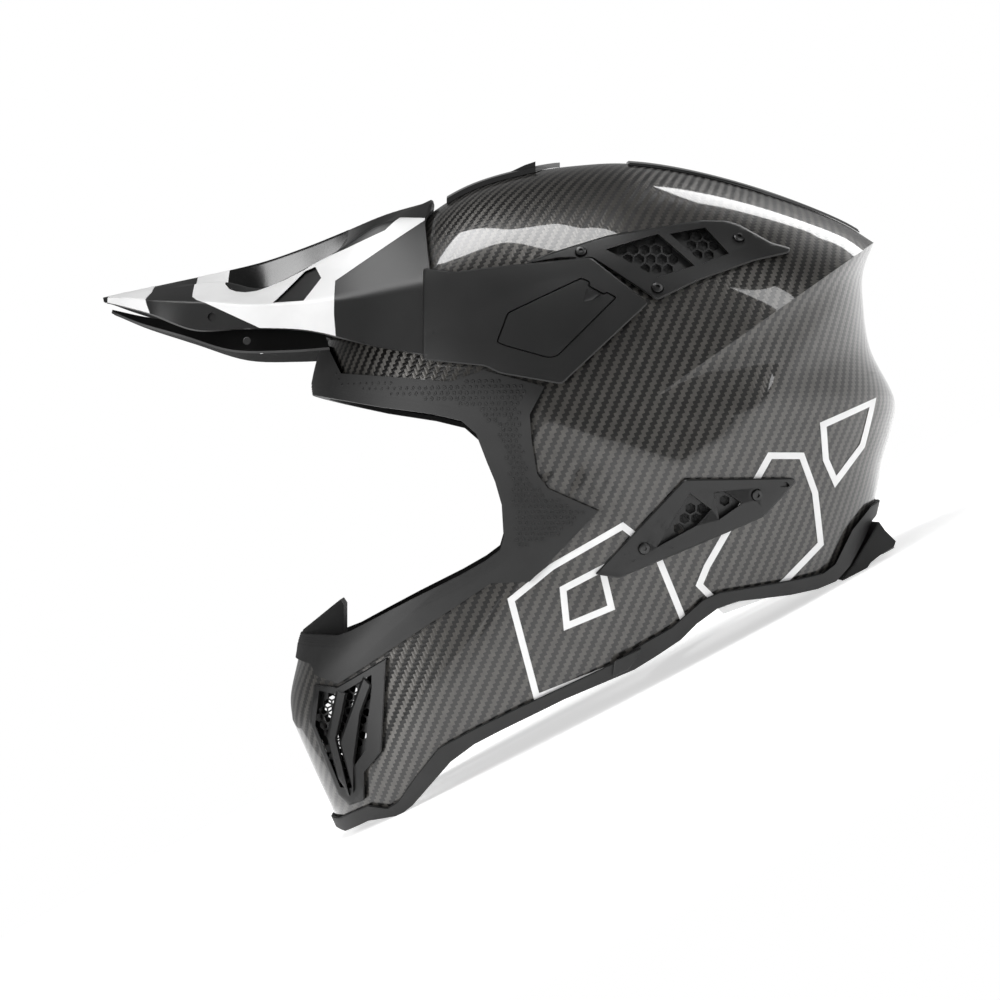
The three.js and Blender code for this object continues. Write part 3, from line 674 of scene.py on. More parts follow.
def link(made, source, output, target, socket):
    made.node_tree.links.new(source.outputs[output], target.inputs[socket])


def shader_of(made):
    return made.node_tree.nodes["Principled BSDF"]


def bump_from(made, source, output, strength, depth):
    bump = add_node(made, "ShaderNodeBump", Strength=strength, Distance=depth)
    link(made, source, output, bump, "Height")
    link(made, bump, "Normal", shader_of(made), "Normal")


def object_coordinates(made):
    return add_node(made, "ShaderNodeTexCoord")


def color_from(made, source, output, first, second, start=0.0, end=1.0):
    """The base colour runs from the first colour to the second as the source rises."""
    ramp = add_node(made, "ShaderNodeValToRGB")
    for element, color, position in zip(ramp.color_ramp.elements, (first, second), (start, end)):
        element.color = (*color, 1)
        element.position = position
    link(made, source, output, ramp, "Fac")
    link(made, ramp, "Color", shader_of(made), "Base Color")


def vary(made, scale, dark, light):
    """Slow colour variation over the piece, from noise in its own space."""
    noise = add_node(made, "ShaderNodeTexNoise", Scale=scale, Detail=3.0)
    link(made, object_coordinates(made), "Object", noise, "Vector")
    color_from(made, noise, "Fac", dark, light, 0.35, 0.65)


def grain(made, scale, strength, depth=0.00005):
    """The fine moulded grain of a plastic or rubber surface."""
    noise = add_node(made, "ShaderNodeTexNoise", Scale=scale, Detail=2.0)
    link(made, object_coordinates(made), "Object", noise, "Vector")
    bump_from(made, noise, "Fac", strength, depth)


def gray(value):
    return (value, value, value)


TOW_WIDTH = 2.0
TWILL_TURN = math.radians(-22)


def math_node(made, operation, first, second=None):
    """A math node; each operand is a (node, output) pair or a number."""
    node = add_node(made, "ShaderNodeMath", {"operation": operation})
    for k, operand in enumerate((first, second)):
        if isinstance(operand, tuple):
            made.node_tree.links.new(operand[0].outputs[operand[1]], node.inputs[k])
        elif operand is not None:
            node.inputs[k].default_value = operand
    return (node, 0)


def carbon_paint():
    """Clear-coated 2x2 twill: each tow passes over two others and under two."""
    made = paint("carbon_twill", (0.05, 0.048, 0.045), 0.34, 0.35, coat_weight=1.0, coat_roughness=0.035,
                 anisotropic=0.75)
    place = add_node(made, "ShaderNodeUVMap", {"uv_map": "weave"})
    split = add_node(made, "ShaderNodeSeparateXYZ")
    link(made, place, "UV", split, "Vector")
    u, v = (split, "X"), (split, "Y")
    step = math_node(made, "SUBTRACT", math_node(made, "FLOOR", u), math_node(made, "FLOOR", v))
    over = math_node(made, "LESS_THAN", math_node(made, "FLOORED_MODULO", step, 4.0), 2.0)
    # height across the tow on top, and a dip where a float goes under
    across_warp = math_node(made, "SINE", math_node(made, "MULTIPLY", math_node(made, "FRACT", u), math.pi))
    across_weft = math_node(made, "SINE", math_node(made, "MULTIPLY", math_node(made, "FRACT", v), math.pi))
    height = add_node(made, "ShaderNodeMix", {"data_type": "FLOAT"})
    for source, socket in ((over, 0), (across_weft, 2), (across_warp, 3)):
        made.node_tree.links.new(source[0].outputs[source[1]], height.inputs[socket])
    bump = add_node(made, "ShaderNodeBump", Strength=0.35, Distance=0.00012)
    made.node_tree.links.new(height.outputs[0], bump.inputs["Height"])
    link(made, bump, "Normal", shader_of(made), "Normal")
    # the two tow directions return the light differently: the turned tangent below gives that sheen, and the
    # lighter and darker tow colours paint the same sheen into the base colour; each tow also varies a little
    fibre = add_node(made, "ShaderNodeTexNoise", Scale=1.0, Detail=1.0)
    stretch = add_node(made, "ShaderNodeMapping")
    stretch.inputs["Scale"].default_value = (0.35, 0.35, 1)
    link(made, place, "UV", stretch, "Vector")
    link(made, stretch, "Vector", fibre, "Vector")
    # painted sheen: tows on top get a lighter base colour and tows underneath a darker one, standing in for
    # the anisotropic reflection
    painted_tow_sheen = add_node(made, "ShaderNodeMix", {"data_type": "RGBA"})
    painted_tow_sheen.inputs["A"].default_value = (0.011, 0.0105, 0.010, 1)
    painted_tow_sheen.inputs["B"].default_value = (0.085, 0.080, 0.073, 1)
    made.node_tree.links.new(over[0].outputs[0], painted_tow_sheen.inputs["Factor"])
    uneven = add_node(made, "ShaderNodeMix", {"data_type": "RGBA", "blend_type": "MULTIPLY"})
    uneven.inputs["Factor"].default_value = 0.5
    link(made, painted_tow_sheen, "Result", uneven, "A")
    link(made, fibre, "Fac", uneven, "B")
    made.node_tree.links.new(uneven.outputs["Result"], shader_of(made).inputs["Base Color"])
    tangent = add_node(made, "ShaderNodeTangent", {"direction_type": "UV_MAP", "uv_map": "weave"})
    link(made, tangent, "Tangent", shader_of(made), "Tangent")
    turn = math_node(made, "MULTIPLY", over, 0.25)
    made.node_tree.links.new(turn[0].outputs[0], shader_of(made).inputs["Anisotropic Rotation"])
    return made


def knit_paint(name, dark, light, scale=700.0, **sockets):
    """A fabric of fine raised cells."""
    made = paint(name, light, 0.95, sheen_weight=0.25, **sockets)
    cells = add_node(made, "ShaderNodeTexVoronoi", Scale=scale)
    link(made, object_coordinates(made), "Object", cells, "Vector")
    color_from(made, cells, "Distance", light, dark)
    bump_from(made, cells, "Distance", 0.5, 0.0003)
    return made


def web_paint(name, dark, light, pitch=0.0016):
    """Woven webbing: ribs across and threads along, in the piece's own space."""
    made = paint(name, light, 0.8, sheen_weight=0.2)
    scale = 1 / pitch / 3
    ribs = add_node(made, "ShaderNodeTexWave", {"bands_direction": "DIAGONAL"}, Scale=scale, Distortion=0.4)
    threads = add_node(made, "ShaderNodeTexWave", {"bands_direction": "Y"}, Scale=scale)
    for wave in (ribs, threads):
        link(made, object_coordinates(made), "Object", wave, "Vector")
    weave, output = math_node(made, "MULTIPLY", (ribs, "Fac"), (threads, "Fac"))
    color_from(made, weave, output, dark, light)
    bump_from(made, weave, output, 0.6, 0.0003)
    return made


def foam_paint():
    """Expanded foam: fused beads about three millimetres across."""
    made = paint("expanded_foam", gray(0.03), 0.9)
    beads = add_node(made, "ShaderNodeTexVoronoi", {"feature": "DISTANCE_TO_EDGE"}, Scale=330.0)
    link(made, object_coordinates(made), "Object", beads, "Vector")
    color_from(made, beads, "Distance", gray(0.008), gray(0.035), end=0.12)
    bump_from(made, beads, "Distance", 0.4, 0.0005)
    return made


def plastic_paint(name, dark, light, roughness, scale=3500.0, strength=0.25, **sockets):
    made = paint(name, light, roughness, **sockets)
    vary(made, 40.0, dark, light)
    grain(made, scale, strength)
    return made


def metal_paint(name, dark, light, roughness):
    made = paint(name, light, roughness, 1.0)
    vary(made, 120.0, dark, light)
    grain(made, 1800.0, 0.15)
    return made


carbon = carbon_paint()
white_print = plastic_paint("white_print", gray(0.74), gray(0.80), 0.3, strength=0.05, coat_weight=0.6)
peak_white = plastic_paint("peak_white", gray(0.72), gray(0.78), 0.38, strength=0.1)
peak_black = plastic_paint("peak_black", gray(0.006), gray(0.009), 0.42)
peak_gloss = plastic_paint("peak_gloss_black", gray(0.006), gray(0.008), 0.16, strength=0.05)
satin_black = plastic_paint("satin_black", gray(0.005), gray(0.008), 0.38)
vent_black = plastic_paint("vent_black", gray(0.004), gray(0.007), 0.40)
rubber = plastic_paint("trim_rubber", gray(0.008), gray(0.012), 0.55, strength=0.35)
gloss_black = plastic_paint("gloss_black", gray(0.006), gray(0.009), 0.10, strength=0.03, coat_weight=1.0,
                            coat_roughness=0.03)
grey_plastic = plastic_paint("grey_plastic", gray(0.20), gray(0.26), 0.5)
foam = foam_paint()
lining = knit_paint("lining_knit", gray(0.010), gray(0.032))
pad_cloth = knit_paint("pad_cloth", gray(0.012), gray(0.040), 480.0)
webbing = web_paint("black_webbing", gray(0.008), gray(0.03))
red_web = web_paint("red_webbing", (0.20, 0.012, 0.012), (0.45, 0.04, 0.04))
ring_steel = metal_paint("ring_steel", gray(0.52), gray(0.62), 0.22)
screw_steel = metal_paint("screw_steel", gray(0.045), gray(0.07), 0.35)

# ---------- showing a piece ----------

SMOOTH_ANGLE = math.radians(32)
WEAVE_ANGLES = 120
WEAVE_SHARES = 40


def weave_table():
    """Arc length over the form from the temple, for rays at even angles, with the shares of the way out."""
    angles = np.linspace(-math.pi, math.pi, WEAVE_ANGLES + 1)
    shares = np.sin(np.linspace(0, math.pi / 2, WEAVE_SHARES + 1))
    table = np.zeros((len(angles), len(shares)))
    for k, angle in enumerate(angles):
        radius = shares * outline_radius(angle)
        width = TEMPLE_HALF_WIDTH * np.maximum(0, 1 - shares**FULLNESS) ** (1 / FULLNESS)
        table[k, 1:] = np.cumsum(np.hypot(np.diff(radius), np.diff(width)))
    return shares, table


SHARES, ARC = weave_table()


def add_weave(mesh):
    """UVs in tow widths, unrolled from the temple, for a mesh in the design frame."""
    places = np.array([v.co for v in mesh.vertices])
    dy, dz = places[:, 1] - TEMPLE[0], places[:, 2] - TEMPLE[1]
    angle = np.arctan2(dz, dy)
    share = np.clip(np.hypot(dy, dz) / outline_radius(angle), 0, 1)
    column = (angle + math.pi) / (2 * math.pi) * WEAVE_ANGLES
    left = np.minimum(column.astype(int), WEAVE_ANGLES - 1)
    weight = column - left
    arc = np.empty(len(places))
    for k in range(WEAVE_ANGLES):
        here = left == k
        low, high = (np.interp(share[here], SHARES, ARC[k + d]) for d in (0, 1))
        arc[here] = low + (high - low) * weight[here]
    turned = angle + TWILL_TURN
    uv = np.column_stack([arc * np.cos(turned), arc * np.sin(turned)]) / TOW_WIDTH
    corners = np.array([loop.vertex_index for loop in mesh.loops])
    mesh.uv_layers.new(name="weave").data.foreach_set("uv", uv[corners].ravel())


def show(name, mesh, material, body, replaced=(), smooth=SMOOTH_ANGLE):
    """Puts a finished solid of the design frame into the scene."""
    mesh.transform(DESIGN_TO_ROW)
    mesh.name = name
    mesh.materials.clear()
    mesh.materials.append(material)
    mesh.shade_smooth()
    mesh.set_sharp_from_angle(angle=smooth)
    piece = bpy.data.objects.new(name, mesh)
    scene.collection.objects.link(piece)
    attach(piece, body)
    if replaced:
        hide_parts(*replaced)
    return piece


# ---------- shell, its print and the foam behind it ----------

PIVOT_HOLE_RADIUS = 4.4


def shell_mesh():
    windows = [*UPPER_WINDOWS, *SIDE_WINDOWS, CHIN_WINDOW]
    port = side_prism(grown(PORT, SHELL_EDGE_INSET))
    body = cut_away(layer(0, SHELL_WALL), port, side_prism(below(RIM_BOTTOM, SHELL_EDGE_INSET)))
    for _, side in SIDES:
        body = cut_away(body, *(side_of(window, side) for window in windows))
        body = cut_away(body, side_of(circle(*PIVOT, PIVOT_HOLE_RADIUS), side))
    add_weave(body)
    return body


# Angular print on each side: a frame with a diamond in it, a wide frame and a slanted bar.
PRINT_WIDTH = 3.6
PRINT_HEIGHT = 0.35
PRINT_SUNK = 0.4
PRINT_EDGE = 0.1
PRINT_FRAMES = {
    "front_frame": [(20, -107), (6, -54), (28, -36), (66, -14), (84, -28), (100, -66), (78, -84)],
    "front_diamond": [(36, -68), (34, -48), (55, -37), (60, -58)],
    "middle_frame": [
        (112, -36), (108, -46), (122, -60), (150, -50), (176, -24), (172, 4), (164, 24), (146, 24),
    ],
    "rear_bar": [(176, 41), (206, 54), (200, 30), (184, 10), (178, 22)],
}


def print_mesh(line):
    """A thin band along a closed line, sunk a little into the shell."""
    outer = grown(line, PRINT_WIDTH / 2)
    inner = grown(line, -PRINT_WIDTH / 2)
    rings = [(0, -PRINT_SUNK), (0, PRINT_HEIGHT - PRINT_EDGE), (PRINT_EDGE, PRINT_HEIGHT)]
    return wrap(flat_plate(outer, rings, [inner]), 2.0)


def impact_liner_mesh():
    bottom = [(-FAR, 64), (-70, 58), (-38, 54), (-14, 49), (2, 34), (8, 5), (85, 5), (120, -27), (160, -24),
              (186, -16), (260, 8), (260, -260), (-FAR, -260)]
    cavity = form(LINER_DEPTH, LINER_SIDE_DEPTH)
    return cut_away(form(SHELL_WALL + GAP), cavity, side_prism(bottom), side_prism(grown(PORT, 4)))


def chin_foam_mesh():
    region = [(-FAR, -108), (-97, -104), (-80, -87), (-66, -75), (-52, -68), (-52, -156), (-64, -165),
              (-84, -172), (-FAR, -168)]
    body = common(layer(SHELL_WALL + 3, CHIN_FOAM_DEPTH), side_prism(region))
    return cut_away(body, *(side_of(grown(CHIN_WINDOW, 1), side) for _, side in SIDES))


show("carbon_shell", shell_mesh(), carbon, "helmet", ["shell"])
for part_name, line in PRINT_FRAMES.items():
    flat_print = print_mesh(line)
    for side_name, side in SIDES:
        show(f"print_{part_name}_{side_name}", sided(flat_print, side), white_print, "helmet")
show("impact_foam", impact_liner_mesh(), foam, "helmet", ["impact_liner"])
show("chin_bar_foam", chin_foam_mesh(), foam, "helmet", ["chin_foam"])

# ---------- rubber trims ----------

BEVEL_REACH = 6.0
BEVEL_STEPS = 4
LIP_RISE = 0.8
NOSE_HALF_WIDTH = 26
RIM_EDGE = 0.6


def eyeport_trim_mesh():
    """The trim's face falls in small steps towards the opening, round a lip that turns inward."""
    shell_edge = side_prism(grown(PORT, SHELL_EDGE_INSET - GAP))
    face = common(layer(-TRIM_RISE, -GAP), side_prism(TRIM_OUTLINE))
    face = cut_away(face, side_prism(grown(PORT, BEVEL_REACH)))
    body = cut_away(common(layer(-LIP_RISE, TRIM_LIP), shell_edge), side_prism(PORT))
    body = joined(body, face)
    for step in range(BEVEL_STEPS):
        share = (step + 1) / (BEVEL_STEPS + 1)
        rise = LIP_RISE + (TRIM_RISE - LIP_RISE) * share
        slope = common(layer(-rise, -GAP), side_prism(grown(PORT, BEVEL_REACH + 0.5)))
        slope = common(slope, side_prism(TRIM_OUTLINE))
        body = joined(body, cut_away(slope, side_prism(grown(PORT, BEVEL_REACH * (share - 0.1)))))
    shell_wall = cut_away(layer(-GAP, SHELL_WALL + GAP), shell_edge)
    nose = cut_away(side_prism(NOSE_GUARD, -NOSE_HALF_WIDTH, NOSE_HALF_WIDTH), shell_wall)
    return joined(body, nose)


def rim_trim_mesh():
    """The edging's face has a softened upper edge, and its lip turns in under the shell."""
    shell_edge = side_prism(below(RIM_BOTTOM, SHELL_EDGE_INSET - GAP))
    body = common(layer(-TRIM_RISE + RIM_EDGE, -GAP), side_prism(below(RIM_TOP)))
    body = joined(body, common(layer(-TRIM_RISE, -GAP), side_prism(below(RIM_TOP, -RIM_EDGE))))
    body = joined(body, common(layer(-TRIM_RISE + RIM_EDGE, TRIM_LIP), shell_edge))
    body = cut_away(body, side_prism(below(RIM_BOTTOM)))
    return cut_away(body, table_slab())


def table_slab():
    """Everything below the table, in the design frame."""
    bm = bmesh.new()
    bmesh.ops.create_cube(bm, size=1.0)
    mesh = finished(bm)
    mesh.transform(Matrix.Diagonal((0.6, 0.9, 0.2, 1)))
    mesh.transform(Matrix.Translation((0, 0, -0.1)))
    mesh.transform(DESIGN_TO_ROW.inverted())
    return mesh


# Raised rings on the eyeport trim, in the two fields that a plain band parts.
RING_PITCH = 3.4
RING_FIELDS = [
    [
        (-92, 74), (-86, 66), (-27, 61), (-9, 66.5), (17, 59.5), (6, 45), (-5, 40), (-12, 50), (-38, 54),
        (-88, 63),
    ],
    [(-1, 41), (12, 48), (12, 33), (16, 13), (23, 3), (46, -6), (32, -19), (8, -27), (8, -4), (5, 16)],
]
RING_PROFILE = [(0, -0.5), (1.25, -0.5), (1.25, 0.10), (0.95, 0.42), (0.60, 0.42), (0.35, 0.15), (0, 0.12)]


def trim_rings_mesh():
    ring = lathe(RING_PROFILE, 10)
    places = []
    for field in RING_FIELDS:
        for y, z in hex_grid(field, RING_PITCH):
            if inside((y, z), field):
                size = np.interp(y, (-90, -30), (0.5, 1.0))
                places.append(surface_place(y, z, TRIM_RISE) @ Matrix.Diagonal((size, size, 1, 1)))
    return scattered(ring, places)


def rim_clip_mesh():
    rings = [(0, TRIM_RISE + 0.1), (0, TRIM_RISE + 1.2), (0.6, TRIM_RISE + 1.8)]
    return wrap(flat_plate(rounded(RIM_CLIP, 1.5), rings), 2.0)


show("eyeport_rubber", eyeport_trim_mesh(), rubber, "helmet", ["eyeport_trim"])
show("rim_rubber", rim_trim_mesh(), rubber, "helmet", ["rim_trim"])
rings = trim_rings_mesh()
clip = rim_clip_mesh()
for side_name, side in SIDES:
    show(f"trim_rings_{side_name}", sided(rings, side), rubber, "helmet")
    show(f"rim_clip_{side_name}", sided(clip, side), rubber, "helmet",
         [f"rim_joint_clip_{side_name}"])

# ---------- vents ----------

FRAME_RISE = 3.2
HONEYCOMB_PITCH = 6.2
HONEYCOMB_WALL = 0.9


def hexagon(y, z, radius):
    turns = [math.pi / 6 + math.pi / 3 * k for k in range(6)]
    return [(y + radius * math.cos(t), z + radius * math.sin(t)) for t in turns]


def honeycomb(window, pitch, low, high):
    """A plate that fills a window, pierced by hexagonal cells, in the flattened side view."""
    plate = flat_plate(window, [(0.3, low), (0.3, high)])
    radius = (pitch - HONEYCOMB_WALL) / math.sqrt(3)
    rim = grown(window, -0.9)
    vertices, faces = [], []
    for y, z in hex_grid(window, pitch):
        cell = hexagon(y, z, radius)
        if sum(inside(corner, rim) for corner in cell) < 4:
            continue
        start = len(vertices)
        vertices += [(level, *corner) for level in (low - 1, high + 1) for corner in cell]
        faces.append([start + k for k in range(6)])
        faces.append([start + 11 - k for k in range(6)])
        faces += [[start + k, start + k + 6, start + (k + 1) % 6 + 6, start + (k + 1) % 6] for k in range(6)]
    cells = bpy.data.meshes.new("cells")
    cells.from_pydata(vertices, [], faces)
    bm = bmesh.new()
    bm.from_mesh(cells)
    return cut_away(plate, finished(bm))


def vent_frame(outline, windows, screws, corner=1.5):
    """A frame with a raised rim, a sunk floor around its windows and seats for its screws."""
    rings = [(0, 0.1), (0, FRAME_RISE - 0.8), (0.8, FRAME_RISE)]
    body = flat_plate(rounded(outline, corner), rings)
    sunk = rounded(grown(outline, -4.5), 1.5)
    body = cut_away(body, flat_plate(sunk, [(0.9, FRAME_RISE - 1.5), (0, FRAME_RISE + 1)]))
    for window in windows:
        rings = [(0, 0.2), (0, FRAME_RISE - 1.0), (0.7, FRAME_RISE - 0.3)]
        body = joined(body, flat_plate(rounded(grown(window, 1.6), 1.2), rings))
    for y, z in screws:
        seat = flat_plate(circle(y, z, 4.6), [(0, 0.2), (0, FRAME_RISE - 0.9), (0.4, FRAME_RISE - 0.5)])
        body = joined(body, seat)
    for window in windows:
        body = cut_away(body, flat_plate(window, [(0.8, -5), (0, FRAME_RISE + 3)]))
    for y, z in screws:
        body = cut_away(body, flat_plate(circle(y, z, 3.5), [(0, FRAME_RISE - 1.4), (0, FRAME_RISE + 3)]))
    return wrap(body, 3.0)


SCREW_PROFILE = [(0, -3.0), (2.0, -3.0), (2.0, 0), (3.1, 0), (3.1, 0.9), (2.9, 1.25), (2.4, 1.5), (0, 1.62)]


def screw_mesh(y, z, base):
    """A button-head screw with a hexagonal socket."""
    head = lathe(SCREW_PROFILE, 28)
    socket = lathe([(0, 0.6), (1.25, 0.6), (1.25, 3.0), (0, 3.0)], 6)
    body = cut_away(head, socket)
    body.transform(surface_place(y, z, base))
    return body


def vent_set(kind, outline, windows, screws):
    frame_mesh = vent_frame(outline, windows, screws)
    for side_name, side in SIDES:
        show(f"{kind}_frame_{side_name}", sided(frame_mesh, side), satin_black, "helmet",
             [f"{kind}_vent_{side_name}"])
    for number, window in enumerate(windows, 1):
        grille = wrap(honeycomb(window, HONEYCOMB_PITCH, -2.4, -0.9), 3.0)
        for side_name, side in SIDES:
            show(f"{kind}_honeycomb_{side_name}_{number}", sided(grille, side), vent_black, "helmet",
                 [f"{kind}_grille_{side_name}_{number}"])
    for number, (y, z) in enumerate(screws, 1):
        screw = screw_mesh(y, z, FRAME_RISE - 1.3)
        for side_name, side in SIDES:
            show(f"{kind}_button_screw_{side_name}_{number}", sided(screw, side), screw_steel, "helmet",
                 [f"{kind}_screw_{side_name}_{number}"])


def chin_vent_mesh():
    rings = [(0, 0.1), (0, 2.3), (0.7, 3.0)]
    body = flat_plate(rounded(CHIN_VENT, 1.0), rings)
    body = cut_away(body, flat_plate(CHIN_WINDOW, [(0.6, -5), (0, 8)]))
    for fin in CHIN_FINS:
        body = joined(body, flat_plate(fin, [(0, -0.5), (0, 2.6), (1.2, 4.2)]))
    return wrap(body, 2.5)


vent_set("upper", UPPER_VENT, UPPER_WINDOWS, UPPER_SCREWS)
vent_set("side", SIDE_VENT, SIDE_WINDOWS, SIDE_SCREWS)
chin_frame = chin_vent_mesh()
chin_grille = wrap(honeycomb(CHIN_WINDOW, 5.0, -2.2, -0.8), 2.5)
for side_name, side in SIDES:
    show(f"chin_frame_{side_name}", sided(chin_frame, side), satin_black, "helmet",
         [f"chin_vent_{side_name}"])
    show(f"chin_honeycomb_{side_name}", sided(chin_grille, side), vent_black, "helmet",
         [f"chin_mesh_{side_name}"])

# ---------- forehead cowl and crown strip ----------

FOREHEAD_PLAN = [(-30, -30), (30, -30), (30, 20), (8, 34), (-8, 34), (-30, 20)]
FIN_SIDE = [(-27, 150), (-24, 172), (-3, 181), (14, 189), (20, 191), (20, 150)]
FIN_OFFSETS = (-21, -7, 7, 21)
FIN_HALF = 1.5
STRIP_PLAN = [(-34, 72), (34, 72), (32, 150), (20, 203), (-20, 203), (-32, 150)]
STRIP_LEVELS = (149, 230)
STRIP_EDGE = 0.6


def forehead_cowl_mesh():
    body = common(layer(-3, -GAP), top_prism(FOREHEAD_PLAN, 120, 220))
    base = form(-GAP)
    for x in FIN_OFFSETS:
        body = joined(body, cut_away(side_prism(FIN_SIDE, x - FIN_HALF, x + FIN_HALF), base))
    return body


def crown_strip_mesh():
    lower = common(layer(-1.1, -GAP), top_prism(STRIP_PLAN, *STRIP_LEVELS))
    upper = common(layer(-1.6, -GAP), top_prism(grown(STRIP_PLAN, -STRIP_EDGE), *STRIP_LEVELS))
    return joined(lower, upper)


show("forehead_cowl", forehead_cowl_mesh(), gloss_black, "helmet", ["forehead_vent"])
show("crown_gloss_strip", crown_strip_mesh(), gloss_black, "helmet", ["crown_strip"])

# ---------- peak ----------

PEAK_WALL = 2.5
TRAY_WALL = 2
WING_JOIN = ARM_TOP + 0.3

# Rows of the outer surface from the middle to one flank, each from the tip to the rear.
PEAK_ROWS = [
    [
        (0, -226, 115.5), (0, -205, 120), (0, -182, 125), (0, -155, 131), (0, -133, 137), (0, -110, 145),
        (0, -90, 153), (0, -65, 163), (0, -38, 170.5),
    ],
    [
        (3, -226, 115), (10, -206, 118.5), (15, -183, 122), (18, -156, 121), (20, -133, 115.5),
        (20, -110, 125), (20, -91, 134), (20, -66, 156), (22, -39, 169.5),
    ],
    [
        (5, -225.5, 115), (18, -207, 117), (26, -184, 119.5), (33, -156, 122.5), (38, -133, 119),
        (42, -109, 129.5), (44, -92, 139), (48, -67, 154), (52, -42, 156),
    ],
    [
        (8, -225, 114.5), (30, -209, 113.5), (50, -193, 111.5), (66, -163, 109.5), (76, -137, 107.5),
        (80, -112, 108.5), (82, -96, 110), (85, -70, 113.5),
        (float(width_at(-38, 120)) + WING_JOIN, -38, 120),
    ],
    [
        (9, -224.5, 112.5), (33, -210, 108.5), (58, -191, 102.5), (70, -168, 94), (78, -141, 94.5),
        (84, -115, 94), (88, -97, 91.5), (94, -70, 84.5), (float(width_at(-36, 78)) + WING_JOIN, -36, 78),
    ],
]
TRAY_ROWS = [
    [(0, -221, 108.5), (0, -200, 104), (0, -172, 100), (0, -142, 98), (0, -116, 97), (0, -104, 96.5)],
    [
        (3, -220.5, 108), (22, -201, 103.5), (48, -174, 99.5), (58, -144, 97.5), (64, -114, 96.5),
        (67, -98, 96),
    ],
    [(5, -220, 107), (27, -202, 99.5), (56, -176, 91.5), (68, -148, 83), (74, -118, 82.5), (78, -94, 84)],
]
ROW_STEPS = (0, 0.03, 0.07, 0.12, 0.25, 0.4, 0.6, 0.75, 0.88, 0.93, 0.97)
ROW_ROUNDING = 0.07
ROUNDING_SAMPLES = 7
STATION_STEPS = 6


def sheet_surface(rows):
    """A fine grid of points over both halves: smooth along each row, rounded creases across them."""
    left = np.array([smooth_points(row, STATION_STEPS) for row in rows])
    lines = np.concatenate([left[:0:-1] * (-1.0, 1.0, 1.0), left])
    count = len(lines)
    places = [k + step for k in range(count - 1) for step in ROW_STEPS] + [count - 1]
    grid = []
    for place in places:
        reach = min(ROW_ROUNDING, place, count - 1 - place)
        samples = np.linspace(place - reach, place + reach, ROUNDING_SAMPLES)
        low = np.minimum(samples.astype(int), count - 2)
        share = (samples - low)[:, None, None]
        grid.append(((1 - share) * lines[low] + share * lines[low + 1]).mean(axis=0))
    return np.array(grid)


def smooth_points(points, per_span):
    """Catmull-Rom points in three dimensions through the given ones, with the last."""
    p = np.array([np.subtract(np.multiply(points[0], 2), points[1]), *points,
                  np.subtract(np.multiply(points[-1], 2), points[-2])], float)
    out = []
    for i in range(1, len(p) - 2):
        p0, p1, p2, p3 = p[i - 1], p[i], p[i + 1], p[i + 2]
        for w in np.arange(per_span) / per_span:
            out.append(0.5 * (2 * p1 + (p2 - p0) * w + (2 * p0 - 5 * p1 + 4 * p2 - p3) * w**2
                              + (3 * p1 - p0 - 3 * p2 + p3) * w**3))
    out.append(p[-2])
    return np.array(out)


def surface_normals(grid):
    """Unit normals of a grid, turned so that the middle one points up."""
    along = np.gradient(grid, axis=1)
    across = np.gradient(grid, axis=0)
    normal = np.cross(along, across)
    normal /= np.linalg.norm(normal, axis=2)[:, :, None]
    return normal * np.sign(normal[len(grid) // 2, grid.shape[1] // 2, 2])


def slab(rows, low, high):
    """The closed solid between two distances from a sheet's outer surface; inward is negative."""
    grid = sheet_surface(rows)
    normal = surface_normals(grid)
    layers = np.concatenate([(grid + normal * level).reshape(-1, 3) for level in (low, high)])
    row_count, column_count = grid.shape[:2]
    count = row_count * column_count
    at = np.arange(count).reshape(row_count, column_count)
    quads = np.stack([at[:-1, :-1], at[1:, :-1], at[1:, 1:], at[:-1, 1:]], axis=-1).reshape(-1, 4)
    rim = [*at[0, :], *at[1:, -1], *at[-1, -2::-1], *at[-2:0:-1, 0]]
    walls = [[a, b, b + count, a + count] for a, b in zip(rim, rim[1:] + rim[:1])]
    bm = bmesh.new()
    corners = [bm.verts.new(v) for v in layers.tolist()]
    for quad in [*quads.tolist(), *(quads[:, ::-1] + count).tolist(), *walls]:
        bm.faces.new([corners[k] for k in quad])
    return finished(bm)


SCOOP = [
    (-154, 140), (-154, 121), (-151, 118), (-147, 116.5), (-142, 116), (-136, 117), (-121, 123),
    (-109, 129), (-103, 133), (-95, 137), (-87, 148), (-84, 175), (-150, 175),
]
SLOT = [(-103, 130), (-109, 127.5), (-125, 108.5), (-108, 109.5), (-99, 123)]
WHITE_TIP = [(-222.5, 125), (-222.5, 100), (-193, 100), (-197, 109), (-198, 112), (-196, 117), (-196, 125)]
WHITE_FIELD = [(-172, 128), (-171.5, 117), (-171, 113), (-168, 110.8), (-163, 109), (-132, 94.5), (-120, 80),
               (-89, 80), (-91, 102), (-91, 121), (-67, 138), (-40, 157), (-56, 158), (-64, 150), (-86, 140),
               (-95, 136.5), (-103, 132.7), (-109, 128.7), (-121, 122.7), (-136, 116.7), (-142, 115.7),
               (-147, 116.2), (-151, 117.7), (-154, 121), (-154, 134)]
TRAY_HOLE = (-140, 88)
DIMPLE = (-159, 101)


PAINT_LOW, PAINT_HIGH = -0.4, 0.22
GLOSS_HIGH = 0.15
SLOT_DEPTH = 1.2
DIMPLE_DEPTH = 1.0
ABOVE = 6


def peak_mesh():
    slot = common(slab(PEAK_ROWS, -SLOT_DEPTH, ABOVE), side_prism(SLOT))
    dimple = common(slab(PEAK_ROWS, -DIMPLE_DEPTH, ABOVE), side_prism(circle(*DIMPLE, 2.4, 20)))
    return cut_away(slab(PEAK_ROWS, -PEAK_WALL, 0), slot, dimple)


def peak_field(outline, high=PAINT_HIGH):
    """A thin painted field that follows the peak's outer surface."""
    return common(slab(PEAK_ROWS, PAINT_LOW, high), side_prism(outline))


